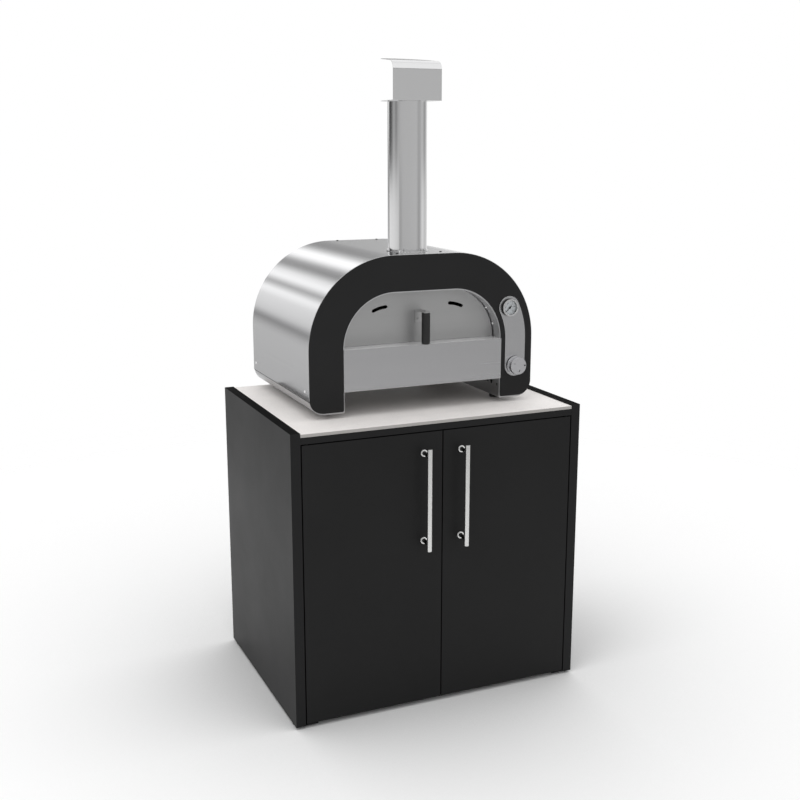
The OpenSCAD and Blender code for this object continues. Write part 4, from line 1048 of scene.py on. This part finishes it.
@dataclass
class OvenBody(Assembly):
    """The oven's sheets, lining, stones, feet and screws, with sizes in millimetres."""

    sheet_edge: float = 0.3
    shell_low: float = 963.0
    leg_out: float = 370.2
    # Height of the dark strip that stands in for the shade in the seam under the shell
    seam_shade_h: float = 1.8
    foot_r: float = 16.0
    foot_h: float = 14.9
    foot_x: float = 288.0
    foot_in: float = 87.0
    foot_drop: float = 15.0
    screw: tuple[float, float, float, float] = (4.0, 1.8, 2.0, 6.0)
    flange_screw: tuple[float, float, float, float] = (2.4, 1.8, 1.4, 1.5)
    side_spots: tuple[float, float, float, float] = (371.5, 68.0, 38.6, 26.6)
    top_spots: tuple[float, float, float] = (71.5, 44.0, 12.0)
    liner_angles: tuple[float, ...] = (15.2, 35.5)
    liner_in: float = 43.0
    flange_angles: tuple[float, ...] = (45, 135, 225, 315)
    flange_r: float = 65.0

    def build(self) -> None:
        """Models and fits every piece of the oven's body."""
        self.carry(SHELL, self.sheet_edge, "shell", "oven_back")
        self.carry(BLACK, 0.5, "fascia")
        self.carry(LINER, self.sheet_edge, "mouth_liner")
        self.carry(LEGS, self.sheet_edge, "leg_left", "leg_right")
        self.carry(FRONT, self.sheet_edge, "apron")
        self.carry(CHAMBER, self.sheet_edge, "vault", "chamber_back")
        self.carry(TRAY_PAINTED_SHADE, self.sheet_edge, "floor_tray")
        self.carry(STONE, 1.6, "baking_stones", segments=3)
        self.paint(BLANKET, "insulation_arch")
        self.paint(BOARD, "insulation_boards")
        self.feet()
        self.seams()
        self.screws()

    def seams(self) -> None:
        """Lays a dark strip in the step under each lower edge of the shell, as painted shade for the seam's
        shadow gap.
        """
        low = self.shell_low
        for side in Side:
            xs = sorted((side.value * (self.leg_out - 0.5), side.value * (self.leg_out + 1.1)))
            strip = block("shell_seal_" + side.name.lower(), point(xs[0], FACE_Y + 1.6, low - self.seam_shade_h),
                          point(xs[1], OVEN_BACK_Y - 1.0, low + 0.1), 0.3)
            self.fit(strip, RUBBER)

    def feet(self) -> None:
        """Turns the four rubber feet."""
        r, h = self.foot_r, self.foot_h
        profile = [(r - 1.4, 0.0), (r - 0.4, 0.4), (r, 1.4), (r - 0.3, h * 0.4), (r - 1.6, h - 1.6),
                   (r - 2.2, h - 0.5), (r - 3.2, h)]
        pattern = turned("foot_pattern", profile, 40)
        places = [Matrix.Translation(point(s * self.foot_x, y, OVEN_Z - self.foot_drop))
                  for s in (-1, 1) for y in (FACE_Y + self.foot_in, OVEN_BACK_Y - self.foot_in)]
        smooth(pattern)
        self.fit(copies("oven_feet_piece", pattern, places), RUBBER, "oven_feet")

    def screws(self) -> None:
        """Sets the screws of the shell, the lining and the flue's flange."""
        places, dark = [], []
        side_x, up, front, rear = self.side_spots
        top_x, top_front, top_rear = self.top_spots
        r = MOUTH_R - 0.1
        for s in (-1, 1):
            for y in (FACE_Y + front, OVEN_BACK_Y - rear):
                places.append(facing(point(s * side_x, y, OVEN_Z + up), Vector((s, 0, 0))))
            for y in (FACE_Y + top_front, OVEN_BACK_Y - top_rear):
                dark.append(facing(point(s * top_x, y, SHELL_TOP_Z), UP))
            for angle in self.liner_angles:
                c, h = math.cos(math.radians(angle)), math.sin(math.radians(angle))
                spot = point(s * (FLAT_HALF + r * c), FACE_Y + self.liner_in, OVEN_Z + ARCH_H + r * h)
                places.append(facing(spot, Vector((-s * c, 0, -h))))
        large = copies("oven_screws_piece", socket_screw(*self.screw), places)
        rim = [facing(point(self.flange_r * math.cos(a), FLUE_Y + self.flange_r * math.sin(a), FLUE_Z[0]), UP)
               for a in map(math.radians, self.flange_angles)]
        small = copies("flange_screws", socket_screw(*self.flange_screw), rim)
        self.fit(joined("oven_screws_piece", [large, small]), SCREW_PAINTED_HIGHLIGHT, "oven_screws")
        self.fit(copies("shell_top_screws", socket_screw(*self.screw), dark), BLACK)


@dataclass
class BakingDoor(Assembly):
    """The lift-off oven door with its bracket and grip, with sizes in millimetres."""

    grip_r: float = 13.0
    grip_ends: tuple[float, float] = (1111.0, 1207.4)
    strap_z: float = 1209.6
    screw_drops: tuple[float, ...] = (9.0, 28.0)
    plate_y: float = -152.625

    def build(self) -> None:
        """Models and fits every piece of the door."""
        self.carry(OVEN_DOOR, 0.5, "oven_door")
        self.bracket()
        self.grip()

    def bracket(self) -> None:
        """Models the bracket and cuts a hexagon socket in each of its screws."""
        piece = carried("door_bracket", 0.35)
        for drop in self.screw_drops:
            at = point(0, self.plate_y - 2.9, self.strap_z - drop)
            cut_away(piece, turned("socket", [(2.0, 0.0), (2.0, 4.0)], 6, at, OUT))
        at = point(0, GRIP_Y, self.strap_z + 0.9)
        cut_away(piece, turned("socket", [(2.4, 0.0), (2.4, 4.0)], 6, at))
        self.fit(piece, BRACKET, "door_bracket")

    def grip(self) -> None:
        """Turns the black grip, with a rounded lower end and a fine waist groove."""
        r = self.grip_r
        length = self.grip_ends[1] - self.grip_ends[0]
        profile = [(r - 3.6, 0.0), (r - 1.9, 0.5), (r - 0.7, 1.4), (r - 0.1, 2.9), (r, 4.2),
                   (r, length - 8.0), (r - 0.5, length - 7.4), (r - 0.5, length - 6.6), (r, length - 6.0),
                   (r, length - 0.9), (r - 0.3, length - 0.2), (r - 0.9, length)]
        grip = turned("door_grip_piece", profile, centre=point(0, GRIP_Y, self.grip_ends[0]))
        smooth(grip)
        self.fit(grip, GRIP, "door_grip")


@dataclass
class Controls(Assembly):
    """The control plate with its thermometer, knob and gas parts, with sizes in millimetres."""

    case_r: float = 26.5
    sleeve_in: float = 2.7
    sleeve_l: float = 7.9
    dial_r: float = 24.4
    dial_y: float = -206.625
    dial_start: float = 225.0
    dial_sweep: float = 270.0
    tick_count: int = 50
    tick_step: int = 5
    long_tick: tuple[float, float] = (18.5, 0.45)
    short_tick: tuple[float, float] = (20.3, 0.25)
    tick_end: float = 22.8
    tick_t: float = 0.12
    number_count: int = 5
    number_h: float = 4.0
    number_r: float = 15.2
    knob_dots: tuple[tuple[float, float, float], ...] = ((2.0, 21.8, 2.7), (150.0, 16.0, 1.5))
    dash: tuple[float, float] = (3.8, 1.1)
    dash_place: tuple[float, float, float] = (282.0, 16.0, 55.0)
    lens_y: float = -213.625
    lens_t: float = 1.5
    inlet_y: tuple[float, float, float] = (344.35, 358.375, 363.375)
    nut_r: tuple[float, float] = (15.2, 16.0)
    neck_r: float = 8.9
    thread_r: tuple[float, float] = (9.5, 10.4)
    thread_l: float = 18.0
    pitch: float = 1.814
    bore_r: float = 5.0
    bore_l: float = 14.0

    def build(self) -> None:
        """Models and fits every piece of the controls."""
        self.carry(FRONT, 0.4, "control_plate")
        self.carry(GAUGE_CASE, 0.5, "thermometer_case")
        self.paint(DIAL, "thermometer_dial")
        self.carry(NEEDLE, 0.15, "thermometer_needle")
        self.sleeve()
        self.lens()
        self.dial_marks()
        self.carry(KNOB_METAL, 0.25, "gas_knob")
        self.knob_marks()
        self.paint(BRASS, "gas_pipes", "gas_valve")
        self.paint(ZINC, "valve_stem")
        self.paint(BURNER, "burner")
        self.paint(PROBE, "flame_probes")
        self.inlet()

    def at_gauge(self, y: float) -> Vector:
        """Returns the point on the thermometer's axis at the given depth."""
        return point(GAUGE[0], y, GAUGE[1])

    def sleeve(self) -> None:
        """Turns a black sleeve round the thermometer's case against the plate, as a painted dark reflection
        on the case's side.
        """
        start, length = self.dial_y + self.sleeve_in, self.sleeve_l
        outer, inner = self.case_r + 0.5, self.case_r - 0.3
        ring = turned("thermometer_sleeve", [(outer, 0.0), (outer, length - 0.3), (outer - 0.3, length)],
                      64, self.at_gauge(start), OUT)
        hole = turned("hole", [(inner, 0.0), (inner, length + 2.0)], 64, self.at_gauge(start + 1.0), OUT)
        cut_away(ring, hole)
        smooth(ring)
        self.fit(ring, RUBBER)

    def lens(self) -> None:
        """Turns the slightly domed glass."""
        r, t = self.dial_r, self.lens_t
        profile = [(r, 0.0), (r, t - 0.5), (r - 0.5, t), (r * 0.8, t + 0.35), (r * 0.5, t + 0.6),
                   (r * 0.2, t + 0.7), (0.0, t + 0.72)]
        glass = turned("thermometer_lens_piece", profile, 64, self.at_gauge(self.lens_y + t), OUT)
        smooth(glass)
        self.fit(glass, GLASS, "thermometer_lens")

    def dial_marks(self) -> None:
        """Models the dial's ticks and plain numbers, and a turned cap on the needle's hub."""
        angles = self.angles(self.tick_count)
        short = [angle for i, angle in enumerate(angles) if i % self.tick_step]
        parts = [self.ticks("long_ticks", *self.long_tick, angles[::self.tick_step]),
                 self.ticks("short_ticks", *self.short_tick, short)]
        for i, angle in enumerate(self.angles(self.number_count)):
            parts.append(self.number(str(i * 100), angle))
        self.fit(joined("dial_marks", parts), NEEDLE)
        cap = turned("needle_cap", [(3.3, 0.0), (3.3, 0.7), (2.9, 1.1), (1.6, 1.35), (0.0, 1.4)], 32,
                     self.at_gauge(self.dial_y - 1.1), OUT)
        smooth(cap)
        self.fit(cap, NEEDLE, body="needle")

    def angles(self, steps: int) -> list[float]:
        """Returns the angles of evenly spaced marks, clockwise from the dial's start to its end."""
        return [math.radians(self.dial_start - i * self.dial_sweep / steps) for i in range(steps + 1)]

    def ticks(self, name: str, start: float, half: float, angles: Sequence[float]) -> Piece:
        """Models one tick and copies it round the dial.

        Args:
            name: the joined ticks' name.
            start: radius of the tick's inner end.
            half: half of its width.
            angles: where the ticks stand, anticlockwise from the right.

        Returns:
            The joined ticks.
        """
        tick = block("tick", point(start, -half, 0), point(self.tick_end, half, self.tick_t), 0.03)
        face = Matrix.Translation(self.at_gauge(self.dial_y)) @ TO_FRONT
        return copies(name, tick, [face @ Matrix.Rotation(angle, 4, "Z") for angle in angles])

    def number(self, text: str, angle: float) -> Piece:
        """Models one plain number of the dial.

        Args:
            text: the digits.
            angle: its place round the dial, anticlockwise from the right.

        Returns:
            The number as a mesh.
        """
        clear_selection()
        bpy.ops.object.text_add()
        word = bpy.context.object
        word.data.body = text
        word.data.align_x = "CENTER"
        word.data.align_y = "CENTER"
        word.data.size = self.number_h * MM
        word.data.extrude = 0.05 * MM
        word.data.resolution_u = 3
        bpy.ops.object.convert(target="MESH")
        spot = self.at_gauge(self.dial_y - 0.06) + around(angle, self.number_r)
        word.data.transform(Matrix.Translation(spot) @ TO_FRONT)
        return word

    def knob_marks(self) -> None:
        """Inlays the knob's dots and its pointer line."""
        face = point(KNOB[0], KNOB_FACE_Y, KNOB[1])
        marks = []
        for angle, radius, size in self.knob_dots:
            spot = face + around(math.radians(angle), radius)
            marks.append(turned("dot", [(size, -0.3), (size, 0.1), (size * 0.8, 0.2)], 20, spot, OUT))
        long, wide = self.dash
        dash = block("dash", point(-long, -wide, -0.3), point(long, wide, 0.2), 0.1)
        angle, radius, turn = self.dash_place
        spot = face + around(math.radians(angle), radius)
        dash.data.transform(Matrix.Translation(spot) @ TO_FRONT @ Matrix.Rotation(math.radians(turn), 4, "Z"))
        marks.append(dash)
        self.fit(joined("knob_marks", marks), NEEDLE, body="knob")

    def inlet(self) -> None:
        """Models the gas inlet: a neck, a hexagon nut and a threaded end with its bore."""
        base = point(KNOB[0], 0.0, INLET_Z)
        start, low, high = self.inlet_y
        flat, corner = self.nut_r
        root, crest = self.thread_r
        sides = [(flat, low), (corner, low + 0.5), (corner, high - 0.5), (flat, high)]
        nut = turned("nut", sides, 6, base, BACK)
        y = high - 0.5
        end = high + self.thread_l
        profile = [(self.neck_r, start), (self.neck_r, y), (root, y + 0.01)]
        while y + self.pitch < end - 0.6:
            profile += [(crest, y + self.pitch * 0.5), (root, y + self.pitch)]
            y += self.pitch
        profile += [(root, end - 0.3), (root - 0.3, end), (self.bore_r + 1.2, end), (self.bore_r, end - 1.2),
                    (self.bore_r, end - self.bore_l)]
        thread = turned("thread", profile, 48, base, BACK)
        smooth(thread, limit=25.0)
        self.fit(joined("gas_inlet_piece", [thread, nut]), BRASS, "gas_inlet")


@dataclass
class Flue(Assembly):
    """The flue's collar, pipe and cap, with sizes in millimetres."""

    pipe_r: float = 60.0
    edge: float = 0.3
    seam_w: float = 7.0
    seam_t: float = 0.7

    def build(self) -> None:
        """Models and fits every piece of the flue."""
        self.carry(FLUE, self.edge, "flue_collar", "flue_cap", "flue_pipe")
        self.seam()

    def seam(self) -> None:
        """Models the pipe's lap seam down its back."""
        y = FLUE_Y + self.pipe_r
        strip = block("flue_seam", point(-self.seam_w / 2, y - 0.5, FLUE_Z[0] + 1.0),
                      point(self.seam_w / 2, y + self.seam_t - 0.3, FLUE_Z[1] - 1.0), 0.3)
        self.fit(strip, FLUE)


# Studio -----------------------------------------------------------------------------------------

TOP_LEVEL = 2.4


def emptied(owner: bpy.types.Material | bpy.types.World) -> Wires:
    """Clears a new node tree of the nodes that it starts with.

    Args:
        owner: the material or world that has the tree.

    Returns:
        The tree's wires.
    """
    owner.use_nodes = True
    owner.node_tree.nodes.clear()
    return Wires(owner.node_tree)


@dataclass
class Lamp:
    """One soft area lamp."""

    name: str
    place: tuple[float, float, float]
    size: float
    power: float


@dataclass
class Studio:
    """Pale floor, soft lamps, what metal sees round it, and the camera.

    The profiles give the levels that polished metal mirrors. strips lie behind the object, by the angle round
    its depth. walls and tall_walls stand round it, by compass angle, under and over the eye's level. heights
    scales the walls by the z of the direction, and ceiling ends them.
    """

    eye: tuple[float, float, float] = (-1.4233, -3.2485, 1.6985)
    sight: tuple[float, float, float] = (0.393, 0.8926, -0.2209)
    lens: float = 50.77
    aim: tuple[float, float, float] = (0.0, 0.0, 0.9)
    sky: float = 0.99
    painted_contact_shade: float = 0.68
    shadow_reach: float = 2.5
    fade: tuple[float, float] = (2.0, 3.6)
    lamps: tuple[Lamp, ...] = (
        Lamp("front_lamp", (2.6, -3.4, 3.0), 2.4, 4.0),
        Lamp("side_lamp", (-3.4, -2.2, 2.6), 2.4, 4.0),
        Lamp("top_lamp", (-1.2, -0.9, 4.0), 1.4, 14.0),
    )

    strips: Profile = (
        (-180, 0.79), (-60, 0.8), (-42, 0.46), (-36, 0.46), (-34.3, 0.51), (-32, 0.53), (-29.3, 0.6),
        (-18.2, 0.53), (-7.1, 0.25), (3.9, 0.78), (15.1, 0.88), (26.3, 0.94), (37.4, 1.3), (48.6, 0.38),
        (59.7, 1.36), (70.7, 1.1), (81.7, 0.3), (92.6, 0.38), (103.5, 1.36), (114.2, 1.48), (124.9, 0.62),
        (135.4, 0.28), (145.9, 0.32), (156.3, 0.37), (166.6, 0.46), (180, 0.6))
    walls: Profile = (
        (-180, 0.98), (-150, 1.04), (-110, 0.98), (-95, 0.94), (-76, 0.82), (-69, 0.46), (-60, 0.48),
        (-50, 0.58), (30, 0.62), (38, 0.54), (47, 0.42), (56, 0.5), (68, 0.84), (82, 0.95), (92, 0.76),
        (104, 0.74), (118, 0.78), (140, 0.95), (160, 1.05), (180, 0.98))
    tall_walls: Profile = (
        (-180, 0.12), (-160, 0.08), (-148, 0.05), (-136, 0.08), (-124, 0.16), (-114, 0.42), (-104, 0.42),
        (-92, 0.24), (-80, 0.44), (-64, 0.58), (30, 0.6), (44, 0.48), (56, 0.53), (68, 0.62), (80, 0.56),
        (90, 0.38), (104, 0.5), (116, 0.85), (140, 1.2), (170, 1.0), (180, 0.12))
    heights: Profile = (
        (-1.0, 1.3), (-0.27, 1.3), (-0.22, 0.7), (-0.14, 0.69), (-0.1, 0.97), (0.03, 0.97), (0.05, 1.0),
        (0.1, 1.0), (0.13, 0.4), (0.17, 0.4), (0.21, 2.2), (0.9, 2.2), (1.0, 1.8))
    ceiling: float = 1.12
    tall_from: tuple[float, float] = (-0.045, -0.008)
    behind_from: tuple[float, float] = (0.86, 0.92)

    def build(self) -> None:
        """Sets up the whole studio."""
        self.floor()
        self.surroundings()
        for lamp in self.lamps:
            self.lamp(lamp)
        self.camera()
        bpy.context.scene.view_settings.view_transform = "Standard"

    def floor(self) -> None:
        """Lays the pale floor, which fades into the white surroundings away from the object, with a painted
        shadow that darkens it where the object hides the sky.
        """
        clear_selection()
        bpy.ops.mesh.primitive_plane_add(size=12.0, location=(0, 0, 0))
        floor = bpy.context.object
        floor.name = "studio_floor"
        made = bpy.data.materials.new("pale_floor")
        kit = emptied(made)
        reach = kit.put("VectorMath", {0: kit.put("TexCoord").outputs["Object"]}, operation="LENGTH")
        fade = kit.spread(reach.outputs["Value"], *self.fade, 1.0, 0.0, smooth=True)
        # Painted shadow: the floor's colour darkens near the object, by how much of the sky it hides
        open_sky = kit.put("AmbientOcclusion", {"Distance": self.shadow_reach}, samples=8).outputs["AO"]
        matte = kit.put("BsdfDiffuse", {"Color": kit.spread(open_sky, 0.45, 1.0, self.painted_contact_shade, 1.0)})
        clear = kit.put("BsdfTransparent")
        blend = kit.put("MixShader", {0: fade, 1: clear.outputs[0], 2: matte.outputs[0]})
        kit.put("OutputMaterial", {0: blend.outputs[0]})
        floor.data.materials.append(made)

    def surroundings(self) -> None:
        """Makes the world: white behind the object, an even sky for light, softboxes for metal."""
        world = bpy.data.worlds.new("studio_surroundings")
        bpy.context.scene.world = world
        kit = emptied(world)
        path = kit.put("LightPath").outputs
        seen = kit.sums("MAXIMUM", path["Is Camera Ray"], path["Is Transmission Ray"])
        mirrored = kit.times(path["Is Glossy Ray"], kit.sums("LESS_THAN", path["Diffuse Depth"], 0.5))
        light = kit.mixed(mirrored, grey(self.sky), self.softboxes(kit))
        ground = kit.put("Background", {0: kit.mixed(seen, light, grey(1.0)), 1: 1.0})
        kit.put("OutputWorld", {0: ground.outputs[0]})

    def softboxes(self, kit: Wires) -> Socket:
        """Wires what polished metal sees: strips of light behind, an even grey room in front.

        Args:
            kit: the world's wires.

        Returns:
            The colour's socket.
        """
        way = kit.put("SeparateXYZ", {0: kit.put("TexCoord").outputs["Generated"]}).outputs
        roll = kit.sums("ARCTAN2", way[2], kit.times(way[0], -1.0))
        turn = kit.sums("ARCTAN2", way[0], kit.times(way[1], -1.0))
        tall = kit.spread(way[2], *self.tall_from, smooth=True)
        walls = kit.mixed(tall, self.levels(kit, turn, self.walls), self.levels(kit, turn, self.tall_walls))
        height = kit.ramp(kit.spread(way[2], -1.0, 1.0),
                          [((z + 1) / 2, level / TOP_LEVEL) for z, level in self.heights])
        front = kit.sums("MINIMUM", kit.times(kit.times(walls, height), TOP_LEVEL ** 2), self.ceiling)
        behind = kit.spread(way[1], *self.behind_from, smooth=True)
        return kit.mixed(behind, front, kit.times(self.levels(kit, roll, self.strips), TOP_LEVEL))

    def levels(self, kit: Wires, angle: Socket, stops: Profile) -> Socket:
        """Wires a ramp of levels round the object.

        Args:
            kit: the world's wires.
            angle: the direction, in radians from -pi to pi.
            stops: angles in degrees and their levels.

        Returns:
            The level's socket, as a share of the top level.
        """
        share = kit.sums("ADD", kit.sums("DIVIDE", angle, 2 * math.pi), 0.5)
        return kit.ramp(share, [(a / 360 + 0.5, level / TOP_LEVEL) for a, level in stops])

    def aimed(self, piece: Piece, place: Vector, way: Vector) -> None:
        """Puts a lamp or the camera at a place, looking a way, with its top up."""
        piece.location = place
        piece.rotation_euler = way.to_track_quat("-Z", "Y").to_euler()

    def lamp(self, lamp: Lamp) -> None:
        """Hangs one area lamp that looks at the object and doesn't show in metal.

        Args:
            lamp: its place, size and power.
        """
        data = bpy.data.lights.new(lamp.name, "AREA")
        data.energy = lamp.power
        data.size = lamp.size
        piece = placed(lamp.name, data)
        piece.visible_glossy = False
        self.aimed(piece, lamp.place, Vector(self.aim) - Vector(lamp.place))

    def camera(self) -> None:
        """Sets the camera where the photograph was taken from."""
        data = bpy.data.cameras.new("photo_camera")
        data.lens = self.lens
        data.sensor_width = 36.0
        data.clip_end = 100.0
        piece = placed("photo_camera", data)
        self.aimed(piece, self.eye, Vector(self.sight))
        bpy.context.scene.camera = piece


def main() -> None:
    logging.basicConfig(level=logging.INFO, format="%(name)s: %(message)s")
    Studio().build()
    for assembly in (Cabinet(), CabinetDoor(Side.LEFT), CabinetDoor(Side.RIGHT), OvenBody(), BakingDoor(),
                     Controls(), Flue()):
        assembly.build()
        LOG.info("%s is done", type(assembly).__name__)


if __name__ == "__main__":
    main()
